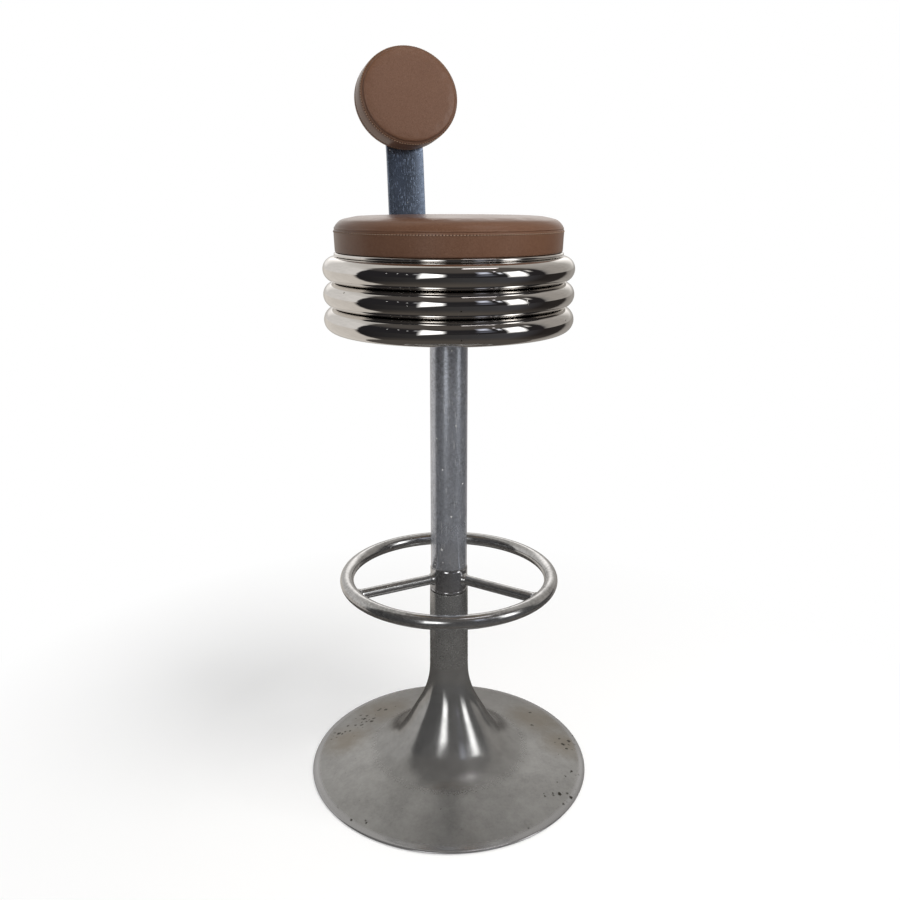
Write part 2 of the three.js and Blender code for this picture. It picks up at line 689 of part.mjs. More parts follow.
// Points and left-hand normals along the corners, with each bend turned as an arc
function bentLine(corners, steps) {
  const line = [];
  corners.forEach(({ at, bend }, i) => {
    const here = new THREE.Vector2(...at);
    const before = i > 0 ? here.clone().sub(new THREE.Vector2(...corners[i - 1].at)).normalize() : null;
    const after = i < corners.length - 1
      ? new THREE.Vector2(...corners[i + 1].at).sub(here).normalize() : null;
    if (!before || !after) {
      const way = before ?? after;
      line.push({ point: here, normal: new THREE.Vector2(-way.y, way.x) });
      return;
    }
    const turn = Math.atan2(before.cross(after), before.dot(after));
    const start = here.clone().addScaledVector(before, -bend * Math.tan(Math.abs(turn) / 2));
    const side = new THREE.Vector2(-before.y, before.x).multiplyScalar(Math.sign(turn));
    const centre = start.clone().addScaledVector(side, bend);
    for (let k = 0; k <= steps; k += 1) {
      const angle = turn * k / steps;
      const normal = new THREE.Vector2(-before.y, before.x).rotateAround(new THREE.Vector2(), angle);
      line.push({ point: start.clone().rotateAround(centre, angle), normal });
    }
  });
  return line;
}

const barLine = bentLine(barCorners, 4);
const barSide = (reach) => barLine.map(({ point, normal }) => point.clone().addScaledVector(normal, reach));
const barShape = new THREE.Shape([...barSide(barThickness / 2), ...barSide(-barThickness / 2).reverse()]);
const barStrip = new THREE.ExtrudeGeometry(barShape, { depth: barWidth, bevelEnabled: false });

// The strip's outline lies in the plane of Y and Z, and its width runs along X
barStrip.applyMatrix4(new THREE.Matrix4().set(
  0, 0, 1, -barWidth / 2,
  1, 0, 0, 0,
  0, 1, 0, 0,
  0, 0, 0, 1,
));

// Back pad, built on its own axis: zero at the back panel, pointing to the sitter
const padSeat = barThickness / 2 + touchGap;
backGroup.rotation.x = Math.PI / 2 - padTilt;
backGroup.position.set(
  0,
  padBend[0] + barUp[0] * padRise - Math.cos(padTilt) * padSeat,
  padBend[1] + barUp[1] * padRise + Math.sin(padTilt) * padSeat,
);
backGroup.updateMatrix();
const padBoardBottom = coverThickness + touchGap;
const padScrewHole = padScrewRadius + touchGap;
const padScrewPlaces = rectanglePlaces(padScrewSpacingX, padScrewSpacingY, 0);
const padScrewSeat = -touchGap - barThickness;
const padOutline = (offset) => paddedOutline(padOutlineShares, padRadius, 0, padThickness, offset);

function padHoles(bottom, top) {
  return padScrewPlaces.map(([x, y]) => pillar(x, y, padScrewHole, bottom - cutOverrun, top, boltSides));
}

addPart(backGroup, 'pad_cover', cut(
  turned([[0, 0], ...padOutline(0)], mediumSides),
  [
    turned([[0, coverThickness], ...plainOutline(padOutline(coverThickness))], mediumSides),
    ...padHoles(0, coverThickness + cutOverrun),
  ],
), 'brownVinyl');
addPart(backGroup, 'pad_board', cut(
  roundBar(0, padRadius - padBoardInset - coverThickness, padBoardBottom, padBoardBottom + padBoardThickness,
    mediumSides),
  padHoles(padBoardBottom, padScrewGrip + touchGap),
), 'plywood');
const padFoamBottom = padBoardBottom + padBoardThickness + touchGap;
const padFoamOutline = plainOutline(padOutline(coverThickness + touchGap));
addPart(backGroup, 'pad_foam', turned(outlineAbove(padFoamOutline, padFoamBottom), mediumSides), 'foam');
padScrewPlaces.forEach(([x, y], i) => {
  const headTop = padScrewSeat - touchGap;
  const screw = turned([
    [0, headTop - padScrewHeadHeight],
    [padScrewHeadRadius / 2, headTop - padScrewHeadHeight],
    [padScrewHeadRadius, headTop],
    [padScrewRadius, headTop],
    [padScrewRadius, padScrewGrip],
    [0, padScrewGrip],
  ], boltSides);
  screw.translate(x, y, 0);
  addPart(backGroup, `pad_screw_${i + 1}`, screw, 'zincSteel');
});

// The bar is drilled for its foot bolts and pad screws, and its top corners are rounded
const barFront = new THREE.Shape();
const barHalf = barWidth / 2;
const barTopHeight = barCorners[4].at[1] + barThickness;
const barTopCut = barTopHeight - barThickness;
barFront.moveTo(-barHalf - cutOverrun, barTopHeight);
barFront.lineTo(-barHalf - cutOverrun, barTopCut - barCornerRadius);
barFront.lineTo(-barHalf, barTopCut - barCornerRadius);
barFront.absarc(-barHalf + barCornerRadius, barTopCut - barCornerRadius, barCornerRadius,
  Math.PI, Math.PI / 2, true);
barFront.absarc(barHalf - barCornerRadius, barTopCut - barCornerRadius, barCornerRadius,
  Math.PI / 2, 0, true);
barFront.lineTo(barHalf + cutOverrun, barTopCut - barCornerRadius);
barFront.lineTo(barHalf + cutOverrun, barTopHeight);
const barTopTrim = new THREE.ExtrudeGeometry(barFront, {
  depth: 2 * barRadius,
  bevelEnabled: false,
  curveSegments: 6,
});
barTopTrim.rotateX(Math.PI / 2);
barTopTrim.translate(0, 2 * barRadius, 0);

addPart(seatGroup, 'back_bar', cut(barStrip, [
  barTopTrim,
  ...footBoltPlaces.map(([x, y]) => pillar(x, y, footHoleRadius, barTopOfFoot - barThickness - cutOverrun,
    barTopOfFoot + cutOverrun, boltSides)),
  ...padHoles(padScrewSeat, 0).map((hole) => hole.applyMatrix4(backGroup.matrix)),
]), 'mirrorChrome');
footBoltPlaces.forEach((place, i) => {
  addPart(seatGroup, `foot_bolt_${i + 1}`, bolt(place, barTopOfFoot - barThickness, footBoltTop,
    footBoltRadius, footBoltHeadRadius, footBoltHeadHeight), 'zincSteel');
});

export default stool;
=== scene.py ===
# The looks of a diner counter stool: trumpet base, chromed column and footrest, three mirror hoops
# under a brown vinyl cushion, and a round back pad on a bent flat bar. Metres, +Z up, back at +Y.
import json
import math

import bmesh
import bpy
from mathutils import Matrix, Vector, noise
from mathutils.bvhtree import BVHTree


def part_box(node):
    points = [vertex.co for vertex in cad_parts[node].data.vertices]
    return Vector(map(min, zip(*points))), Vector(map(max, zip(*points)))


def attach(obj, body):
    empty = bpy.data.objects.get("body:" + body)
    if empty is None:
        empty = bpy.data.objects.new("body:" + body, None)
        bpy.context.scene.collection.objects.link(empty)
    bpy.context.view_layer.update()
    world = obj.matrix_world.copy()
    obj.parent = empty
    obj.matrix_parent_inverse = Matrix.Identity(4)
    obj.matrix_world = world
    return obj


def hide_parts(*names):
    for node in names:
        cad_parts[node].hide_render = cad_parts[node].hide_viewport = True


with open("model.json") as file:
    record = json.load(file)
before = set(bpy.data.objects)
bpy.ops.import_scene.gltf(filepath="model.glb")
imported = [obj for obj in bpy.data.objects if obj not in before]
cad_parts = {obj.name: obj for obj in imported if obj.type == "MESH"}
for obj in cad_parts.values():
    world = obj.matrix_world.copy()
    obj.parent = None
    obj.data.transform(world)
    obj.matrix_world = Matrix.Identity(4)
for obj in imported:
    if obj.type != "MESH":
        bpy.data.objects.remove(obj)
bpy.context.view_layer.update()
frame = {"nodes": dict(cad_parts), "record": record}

# Camera, matched to the photograph
PHOTO_SIZE = 900
PHOTO_AXIS_X = 448.8
PHOTO_CENTRE_Y = 414.0
FOCAL_PIXELS = 883.03
SENSOR = 36.0
CAMERA_AZIMUTH = -21.0
CAMERA_PITCH = 13.7
CAMERA_REACH = 1.1675
CAMERA_HEIGHT = 0.8181

# Segments round a turned piece
ROUND = 192
SMALL_ROUND = 96

# Base
SHELL_WALL = 0.003
FLOOR_RING_WIDTH = 0.010
RIM_ROLL_WIDTH = 0.011
RIM_ROLL_HEIGHT = 0.0034
RIM_ROLL_START = 35.0
RIM_EDGE = 0.0006
RIM_EDGE_SHARE = 0.3
RIM_LIP = 0.014
RIM_LIP_STEP = 0.0026
FLARE_TOP = 0.1594
FLARE_FOOT = 0.0217
FLARE_FOOT_INSET = 0.0741
NECK_FLARE_RADIUS = 0.0276
FLARE_SHARES = [(0, 0), (0.008, 0.096), (0.032, 0.196), (0.075, 0.299), (0.14, 0.406), (0.245, 0.54),
                (0.355, 0.673), (0.458, 0.777), (0.523, 0.828), (0.603, 0.877), (0.694, 0.92),
                (0.792, 0.956), (0.894, 0.982), (1, 1)]
NECK_TOP_RADIUS = 0.027
EDGE_ROUND = 0.0008

# Column
COLUMN_WALL = 0.0025
COLUMN_EDGE = 0.0006

# Footrest
HUB_RADIUS = 0.0262
HUB_BEAD_HEIGHT = 0.005
HUB_BEAD_STEP = 0.0008
HUB_BEAD_ROUND = 0.002
HUB_CHAMFER = 0.003
HUB_CHAMFER_IN = 0.0003
HUB_LIP = 0.0004
HUB_MOUTH = 0.0002
RING_TUBE = 0.0095
SPOKE_RADIUS = 0.007
SPOKE_START = 66.5
SPOKE_COUNT = 3
SPOKE_ROUND = 40
SPOKE_SINK = 0.0015
SPOKE_IN_RING = 0.005
# The weld beads along a spoke: how far each point stands out from it, and its place along the spoke
# from the hub's face or the ring's inner side
HUB_WELD = [(0.0022, -0.0004), (0.00121, 0.0016), (0.0002, 0.0036), (0.0, 0.006)]
RING_WELD = [(0.0, -0.003), (0.0003, -0.0006), (0.0011, 0.0014), (0.00132, 0.003)]
WELD_START = (0.0022, -0.0012)

# Seat
HOOP_TUBE = 0.016
HOOP_NODES = ("hoop_bottom", "hoop_middle", "hoop_top")
PAN_BEAD = 0.0024
PAN_SHEET = 0.0015
BOARD_EDGE = 0.001
PLATE_EDGE = 0.0008
SEAT_SEAM_SHARES = (0.9925, 0.622)
SEAT_STITCH_DROP = 0.0030

# Back
BAR_WIDTH = 0.055
BAR_THICKNESS = 0.006
BAR_FOOT_LENGTH = 0.0793
BAR_FOOT_BEND = 0.012
BAR_LEAN_HEIGHT = 0.765
BAR_LEAN = math.radians(5.5)
BAR_PAD_BEND = 0.880
BAR_BEND = 0.060
BAR_PAST_PAD = 0.032
BAR_CORNER = 0.010
BAR_EDGE = 0.0008
BAR_EDGE_FROM = math.radians(60)
BAR_GAP = 0.0005
PAD_TILT = math.radians(10.8)
PAD_RISE = 0.0736
PAD_RADIUS = 0.0717
PAD_THICKNESS = 0.0425
PAD_STRETCH = (1.012, 0.965, 1.0)
PAD_SEAM_SHARES = [(0.947, 0.873), (0.982, 0.17)]
PAD_STITCH_SHARES = [("front", 0.825), ("rear", 0.21)]
TOUCH = 0.0003

# Covers: steps round, how far the cloth may move, how much the seams pucker, and the foam's pressure
SEAT_COVER = {"steps": 160, "cap": 0.0005, "ripple": 0.0012, "pressure": 4.0}
PAD_COVER = {"steps": 128, "cap": 0.0003, "ripple": 0.0006, "pressure": 2.0}
CLOTH_FRAMES = 20
CLOTH = {"quality": 6, "mass": 0.25, "tension_stiffness": 25.0, "compression_stiffness": 25.0,
         "shear_stiffness": 12.0, "bending_stiffness": 4.0, "use_pressure": True}

# Stitches
STITCH_PITCH = 0.0039
STITCH_LENGTH = 0.0030
STITCH_LEAN = 0.14
THREAD = 0.00055
THREAD_LIFT = 0.00018
HOLE_RADIUS = 0.00080
HOLE_SINK = 0.00030
SEAM_HOLD = 0.0013
PUCKER_REACH = 0.012
PUCKER_SCALE = 22.0

scene = bpy.context.scene


# Mesh helpers

def finish_mesh(name, bm, material, body, replaced=(), sharp=35.0):
    """Turns a bmesh into a smooth-shaded piece that rides on a body."""
    bmesh.ops.remove_doubles(bm, verts=bm.verts, dist=1e-6)
    bmesh.ops.recalc_face_normals(bm, faces=bm.faces)
    mesh = bpy.data.meshes.new(name)
    bm.to_mesh(mesh)
    bm.free()
    mesh.polygons.foreach_set("use_smooth", [True] * len(mesh.polygons))
    mesh.set_sharp_from_angle(angle=math.radians(sharp))
    piece = bpy.data.objects.new(name, mesh)
    scene.collection.objects.link(piece)
    mesh.materials.append(material)
    if body:
        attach(piece, body)
    if replaced:
        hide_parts(*replaced)
    return piece


def turned_bmesh(outline, steps, closed=False):
    """Spins an outline of (radius, height) points about +Z."""
    bm = bmesh.new()
    points = [bm.verts.new((radius, 0.0, height)) for radius, height in outline]
    edges = [bm.edges.new(pair) for pair in zip(points, points[1:])]
    if closed:
        edges.append(bm.edges.new((points[-1], points[0])))
    bmesh.ops.spin(bm, geom=points + edges, axis=(0, 0, 1), cent=(0, 0, 0), dvec=(0, 0, 0),
                   angle=2 * math.pi, steps=steps, use_merge=True, use_duplicate=False)
    return bm


def arc(centre_radius, centre_height, radius, start, end, steps):
    """Points of an arc in the radius and height plane, angles in degrees, zero pointing outwards."""
    points = []
    for i in range(steps + 1):
        angle = math.radians(start + (end - start) * i / steps)
        points.append((centre_radius + radius * math.cos(angle),
                       centre_height + radius * math.sin(angle)))
    return points


def spline(points, steps):
    """A smooth open curve through a few (radius, height) points."""
    out = []
    for i in range(len(points) - 1):
        before = Vector(points[max(i - 1, 0)])
        start, end = Vector(points[i]), Vector(points[i + 1])
        after = Vector(points[min(i + 2, len(points) - 1)])
        for k in range(steps):
            t = k / steps
            out.append(tuple(0.5 * (2 * start + (end - before) * t
                                    + (2 * before - 5 * start + 4 * end - after) * t * t
                                    + (3 * start - before - 3 * end + after) * t * t * t)))
    out.append(tuple(points[-1]))
    return out


def rounded_tube(inner, outer, bottom, top, edge):
    """Closed outline of a tube whose outer edges are rounded."""
    return ([(inner, bottom)] + arc(outer - edge, bottom + edge, edge, -90, 0, 4)
            + arc(outer - edge, top - edge, edge, 0, 90, 4) + [(inner, top)])


def node_sizes(node):
    """Radius, lowest and highest height of a round CAD node about the axis."""
    low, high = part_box(node)
    return high[0], low[2], high[2]


# Shader helpers

def new_material(name):
    material = bpy.data.materials.new(name)
    material.use_nodes = True
    tree = material.node_tree
    shader = tree.nodes["Principled BSDF"]
    return material, tree, shader


def add(tree, kind, links=None, **values):
    """Adds a node, sets its properties or input defaults, and links sockets into it."""
    node = tree.nodes.new(kind)
    for key, value in values.items():
        if key in node.bl_rna.properties:
            setattr(node, key, value)
        else:
            node.inputs[key.replace("_", " ")].default_value = value
    for target, source in (links or {}).items():
        tree.links.new(source, node.inputs[target])
    return node


def ramp(tree, source, stops):
    """A colour ramp with (position, grey or colour) stops."""
    node = tree.nodes.new("ShaderNodeValToRGB")
    tree.links.new(source, node.inputs["Fac"])
    elements = node.color_ramp.elements
    while len(elements) > len(stops):
        elements.remove(elements[-1])
    while len(elements) < len(stops):
        elements.new(1.0)
    for element, (position, tone) in zip(elements, stops):
        element.position = position
        element.color = (tone, tone, tone, 1) if isinstance(tone, float) else (*tone, 1)
    return node.outputs["Color"]


def mix_colour(tree, mask, first, second):
    """Blends two colours or colour sockets by a mask."""
    node = tree.nodes.new("ShaderNodeMix")
    node.data_type = "RGBA"
    tree.links.new(mask, node.inputs["Factor"])
    for socket, value in (("A", first), ("B", second)):
        target = [s for s in node.inputs if s.name == socket and s.type == "RGBA"][0]
        if isinstance(value, bpy.types.NodeSocket):
            tree.links.new(value, target)
        else:
            target.default_value = (*value, 1)
    return [s for s in node.outputs if s.type == "RGBA"][0]


def maths(tree, operation, first, second=0.0, clamp=False):
    """A maths node on sockets or plain numbers."""
    node = tree.nodes.new("ShaderNodeMath")
    node.operation = operation
    node.use_clamp = clamp
    for i, value in enumerate((first, second)):
        if isinstance(value, bpy.types.NodeSocket):
            tree.links.new(value, node.inputs[i])
        else:
            node.inputs[i].default_value = value
    return node.outputs[0]


def vector_maths(tree, operation, first, second, output="Vector"):
    """A vector node on a socket and a second socket or plain vector."""
    node = tree.nodes.new("ShaderNodeVectorMath")
    node.operation = operation
    tree.links.new(first, node.inputs[0])
    if isinstance(second, bpy.types.NodeSocket):
        tree.links.new(second, node.inputs[1])
    else:
        node.inputs[1].default_value = second
    return node.outputs[output]


def summed(tree, base, *terms):
    """Each source times its share, added up on a base value."""
    total = None
    for source, share in terms:
        part = maths(tree, "MULTIPLY", source, share)
        total = part if total is None else maths(tree, "ADD", total, part)
    return maths(tree, "ADD", total, base) if base else total


def make_group(name, inputs, outputs):
    """An empty shader group with float or vector inputs and named outputs."""
    group = bpy.data.node_groups.new(name, "ShaderNodeTree")
    for socket, kind, default in inputs:
        item = group.interface.new_socket(name=socket, in_out="INPUT", socket_type=kind)
        if default is not None:
            item.default_value = default
    for socket, kind in outputs:
        group.interface.new_socket(name=socket, in_out="OUTPUT", socket_type=kind)
    return group, group.nodes.new("NodeGroupInput"), group.nodes.new("NodeGroupOutput")


def scratch_group():
    """Fine hair scratches: noise drawn out along one axis, kept only where a patch noise allows."""
    group, given, result = make_group(
        "hair_scratches",
        [("Vector", "NodeSocketVector", None), ("Stretch", "NodeSocketVector", (1, 1, 1)),
         ("Scale", "NodeSocketFloat", 400.0), ("Amount", "NodeSocketFloat", 0.5)],
        [("Mask", "NodeSocketFloat")])
    drawn = vector_maths(group, "MULTIPLY", given.outputs["Vector"], given.outputs["Stretch"])
    lines = add(group, "ShaderNodeTexNoise",
                {"Vector": drawn, "Scale": given.outputs["Scale"]}, Detail=3.0, Roughness=0.6)
    patches = add(group, "ShaderNodeTexNoise", {"Vector": given.outputs["Vector"]}, Scale=22.0, Detail=2.0)
    hair = ramp(group, lines.outputs["Fac"], [(0.60, 0.0), (0.70, 1.0)])
    where = ramp(group, patches.outputs["Fac"], [(0.38, 0.15), (0.62, 1.0)])
    both = maths(group, "MULTIPLY", hair, where)
    group.links.new(maths(group, "MULTIPLY", both, given.outputs["Amount"]), result.inputs["Mask"])
    return group


def pit_group():
    """Small uneven pits or specks at random places, closer together in some patches than in others."""
    group, given, result = make_group(
        "pits",
        [("Vector", "NodeSocketVector", None), ("Scale", "NodeSocketFloat", 200.0),
         ("Size", "NodeSocketFloat", 0.12), ("Share", "NodeSocketFloat", 0.2)],
        [("Mask", "NodeSocketFloat")])
    wander = add(group, "ShaderNodeTexNoise",
                 {"Vector": given.outputs["Vector"],
                  "Scale": maths(group, "MULTIPLY", given.outputs["Scale"], 2.5)}, Detail=2.0)
    centred = vector_maths(group, "SUBTRACT", wander.outputs["Color"], (0.5, 0.5, 0.5))
    reach = maths(group, "DIVIDE", 0.22, given.outputs["Scale"])
    offset = add(group, "ShaderNodeVectorMath", {0: centred, "Scale": reach}, operation="SCALE")
    moved = vector_maths(group, "ADD", given.outputs["Vector"], offset.outputs[0])
    cells = add(group, "ShaderNodeTexVoronoi",
                {"Vector": moved, "Scale": given.outputs["Scale"]}, Randomness=1.0)
    patches = add(group, "ShaderNodeTexNoise", {"Vector": given.outputs["Vector"]}, Scale=17.0, Detail=2.0)
    crowd = ramp(group, patches.outputs["Fac"], [(0.42, 0.25), (0.60, 1.0)])
    pick = add(group, "ShaderNodeSeparateColor", {"Color": cells.outputs["Color"]})
    share = maths(group, "MULTIPLY", given.outputs["Share"], crowd)
    chosen = maths(group, "LESS_THAN", pick.outputs["Red"], share)
    size = maths(group, "MULTIPLY", given.outputs["Size"],
                 maths(group, "ADD", pick.outputs["Green"], 0.35))
    near = maths(group, "SUBTRACT", 1.0,
                 maths(group, "DIVIDE", cells.outputs["Distance"], size), clamp=True)
    sharp = maths(group, "MULTIPLY", near, 2.5, clamp=True)
    group.links.new(maths(group, "MULTIPLY", sharp, chosen), result.inputs["Mask"])
    return group


def smudge_group():
    """Soft clouds of handling haze between 0 and 1."""
    group, given, result = make_group(
        "smudges",
        [("Vector", "NodeSocketVector", None), ("Scale", "NodeSocketFloat", 8.0)],
        [("Mask", "NodeSocketFloat")])
    cloud = add(group, "ShaderNodeTexNoise",
                {"Vector": given.outputs["Vector"], "Scale": given.outputs["Scale"]},
                Detail=5.0, Roughness=0.6, Distortion=0.4)
    group.links.new(ramp(group, cloud.outputs["Fac"], [(0.40, 0.0), (0.68, 1.0)]), result.inputs["Mask"])
    return group


SCRATCHES = scratch_group()
PITS = pit_group()
SMUDGES = smudge_group()


def use_group(tree, group, vector, **values):
    """Places a shader group, with each of its inputs linked or set, and gives its mask."""
    node = tree.nodes.new("ShaderNodeGroup")
    node.node_tree = group
    tree.links.new(vector, node.inputs["Vector"])
    for key, value in values.items():
        if isinstance(value, bpy.types.NodeSocket):
            tree.links.new(value, node.inputs[key])
        else:
            node.inputs[key].default_value = value
    return node.outputs[0]


def object_vector(tree):
    return add(tree, "ShaderNodeTexCoord").outputs["Object"]


def bump(tree, shader, height, strength, distance):
    node = add(tree, "ShaderNodeBump", {"Height": height}, Strength=strength, Distance=distance)
    tree.links.new(node.outputs["Normal"], shader.inputs["Normal"])


# Finishes

# Where the base is stained, where its plate is pitted, and how far each place reaches
STAINS = [((-0.060, 0.134, 0.014), 0.050), ((-0.135, 0.085, 0.014), 0.040),
          ((0.160, 0.030, 0.014), 0.050), ((0.172, -0.040, 0.014), 0.040)]
PITTED = [((0.184, -0.045, 0.008), 0.022), ((0.145, -0.123, 0.008), 0.020),
          ((0.112, -0.147, 0.010), 0.026), ((-0.089, 0.119, 0.014), 0.032),
          ((-0.146, 0.113, 0.008), 0.016), ((-0.163, -0.090, 0.008), 0.014),
          ((0.056, -0.117, 0.014), 0.006)]


def mirror_chrome():
    """Bright plating with hair scratches, faint haze and a few dark pits."""
    material, tree, shader = new_material("mirror_chrome")
    where = object_vector(tree)
    hair = use_group(tree, SCRATCHES, where, Scale=110.0, Amount=0.35, Stretch=(1.0, 1.0, 7.0))
    haze = use_group(tree, SMUDGES, where, Scale=14.0)
    pits = use_group(tree, PITS, where, Scale=110.0, Size=0.13, Share=0.22)
    rough = summed(tree, 0.025, (hair, 0.16), (haze, 0.03), (pits, 0.5))
    tree.links.new(rough, shader.inputs["Roughness"])
    colour = mix_colour(tree, pits, (0.80, 0.78, 0.755), (0.13, 0.11, 0.09))
    tree.links.new(colour, shader.inputs["Base Color"])
    shader.inputs["Metallic"].default_value = 1.0
    sink = maths(tree, "SUBTRACT", maths(tree, "MULTIPLY", hair, -0.15), pits)
    bump(tree, shader, sink, 0.3, 0.0002)
    return material


def worn_chrome(name, tint, stretch, scale, base_rough, metallic, scratch, flecks, streak=0.0,
                line=1.8, bright_below=0.0):
    """Plating dulled by cleaning: a cloudy haze, drawn-out scratches, pale flecks, and reflections
    that a streak above zero draws out along Z. Below the height given it is still bright."""
    material, tree, shader = new_material(name)
    where = object_vector(tree)
    hair = use_group(tree, SCRATCHES, where, Scale=scale, Amount=scratch, Stretch=stretch)
    haze = use_group(tree, SMUDGES, where, Scale=26.0)
    fine = add(tree, "ShaderNodeTexNoise", {"Vector": where}, Scale=240.0, Detail=4.0, Roughness=0.7)
    pits = use_group(tree, PITS, where, Scale=170.0, Size=0.24, Share=flecks)
    rough = summed(tree, base_rough, (hair, 0.20), (haze, 0.10))
    if bright_below:
        height = add(tree, "ShaderNodeSeparateXYZ", {"Vector": where}).outputs["Z"]
        worn = ramp(tree, height, [(bright_below, 0.25), (bright_below + 0.05, 1.0)])
        rough = maths(tree, "MULTIPLY", rough, worn)
    tree.links.new(rough, shader.inputs["Roughness"])
    dull = mix_colour(tree, haze, tint, tuple(c * 0.62 for c in tint))
    grainy = mix_colour(tree, ramp(tree, fine.outputs["Fac"], [(0.36, 0.0), (0.66, 1.0)]), dull,
                        tuple(min(1.0, c * 1.22) for c in tint))
    drawn = mix_colour(tree, maths(tree, "MULTIPLY", hair, 0.55), grainy,
                       tuple(min(1.0, c * line) for c in tint))
    tree.links.new(mix_colour(tree, pits, drawn, (0.80, 0.80, 0.79)), shader.inputs["Base Color"])
    plated = maths(tree, "SUBTRACT", metallic, maths(tree, "MULTIPLY", pits, 0.4), clamp=True)
    tree.links.new(plated, shader.inputs["Metallic"])
    bump(tree, shader, maths(tree, "ADD", hair, pits), 0.20, 0.0002)
    if streak:
        shader.inputs["Anisotropic"].default_value = streak
        shader.inputs["Anisotropic Rotation"].default_value = 0.25
        around = add(tree, "ShaderNodeTangent", direction_type="RADIAL", axis="Z")
        tree.links.new(around.outputs["Tangent"], shader.inputs["Tangent"])
    return material


def places_mask(tree, where, ragged, places):
    """1 at each of the places on the base, fading raggedly to 0 past its reach."""
    whole = None
    for place, reach in places:
        away = vector_maths(tree, "DISTANCE", where, place, "Value")
        uneven = maths(tree, "ADD", away, maths(tree, "MULTIPLY", ragged, reach))
        mask = ramp(tree, maths(tree, "DIVIDE", uneven, 2.5 * reach), [(0.32, 1.0), (0.68, 0.0)])
        whole = mask if whole is None else maths(tree, "MAXIMUM", whole, mask)
    return whole


def spun_aluminium():
    """Dull spun aluminium: a glossier neck and rim, fine mottle, brown stains, and clustered pits."""
    material, tree, shader = new_material("base_aluminium")
    where = object_vector(tree)
    split = add(tree, "ShaderNodeSeparateXYZ", {"Vector": where})
    across = maths(tree, "ADD", maths(tree, "POWER", split.outputs["X"], 2.0),
                   maths(tree, "POWER", split.outputs["Y"], 2.0))
    radius = maths(tree, "SQRT", across)
    rings = add(tree, "ShaderNodeCombineXYZ", {"X": radius, "Y": split.outputs["Z"]})
    turning = add(tree, "ShaderNodeTexNoise", {"Vector": rings.outputs[0]}, Scale=500.0, Detail=3.0)
    grain = add(tree, "ShaderNodeTexNoise", {"Vector": where}, Scale=260.0, Detail=5.0, Roughness=0.75)
    mottle = add(tree, "ShaderNodeTexNoise", {"Vector": where}, Scale=34.0, Detail=6.0, Roughness=0.7)
    far_out = maths(tree, "MULTIPLY", radius, 5.0)
    disc = ramp(tree, far_out, [(0.20, 0.0), (0.60, 1.0)])
    outer = ramp(tree, far_out, [(0.58, 0.0), (0.70, 1.0)])
    rim = ramp(tree, far_out, [(0.955, 0.0), (0.975, 1.0)])
    neck = ramp(tree, split.outputs["Z"], [(0.115, 0.0), (0.165, 1.0)])
    ragged = mottle.outputs["Fac"]
    stain = places_mask(tree, where, ragged, STAINS)
    eaten = places_mask(tree, where, ragged, PITTED)
    centred = vector_maths(tree, "SUBTRACT", grain.outputs["Color"], (0.5, 0.5, 0.5))
    small = add(tree, "ShaderNodeVectorMath", {0: centred}, operation="SCALE", Scale=0.008)
    torn = vector_maths(tree, "ADD", where, small.outputs[0])
    share = maths(tree, "MULTIPLY", outer, summed(tree, 0.02, (eaten, 1.7), (stain, 0.16)))
    pits = use_group(tree, PITS, torn, Scale=120.0, Size=0.35, Share=share)
    rust = use_group(tree, PITS, torn, Scale=170.0, Size=0.30, Share=0.05)
    specks = use_group(tree, PITS, where, Scale=75.0, Size=0.10, Share=0.05)
    rough = summed(tree, 0.09, (disc, 0.16), (neck, 0.14), (grain.outputs["Fac"], 0.08), (rim, -0.14))
    tree.links.new(rough, shader.inputs["Roughness"])
    spots = ramp(tree, grain.outputs["Fac"], [(0.34, 0.0), (0.68, 1.0)])
    base = mix_colour(tree, ramp(tree, mottle.outputs["Fac"], [(0.36, 0.0), (0.64, 1.0)]),
                      (0.275, 0.273, 0.268), (0.355, 0.354, 0.348))
    plain = mix_colour(tree, maths(tree, "MULTIPLY", spots, 0.25), base, (0.48, 0.48, 0.474))
    stained = mix_colour(tree, maths(tree, "MULTIPLY", stain, 0.6), plain, (0.25, 0.215, 0.165))
    spotted = mix_colour(tree, pits, stained, (0.040, 0.036, 0.030))
    rusted = mix_colour(tree, maths(tree, "MULTIPLY", rust, maths(tree, "MULTIPLY", outer, stain)), spotted,
                        (0.12, 0.07, 0.05))
    bright = mix_colour(tree, maths(tree, "MULTIPLY", specks, disc), rusted, (0.85, 0.85, 0.84))
    polished = mix_colour(tree, maths(tree, "MULTIPLY", rim, maths(tree, "SUBTRACT", 1.0, pits)), bright,
                          (0.42, 0.42, 0.425))
    tree.links.new(polished, shader.inputs["Base Color"])
    shader.inputs["Metallic"].default_value = 0.82
    height = summed(tree, 0.0, (turning.outputs["Fac"], 0.3), (grain.outputs["Fac"], 0.6))
    bump(tree, shader, maths(tree, "SUBTRACT", height, pits), 0.14, 0.0003)
    return material


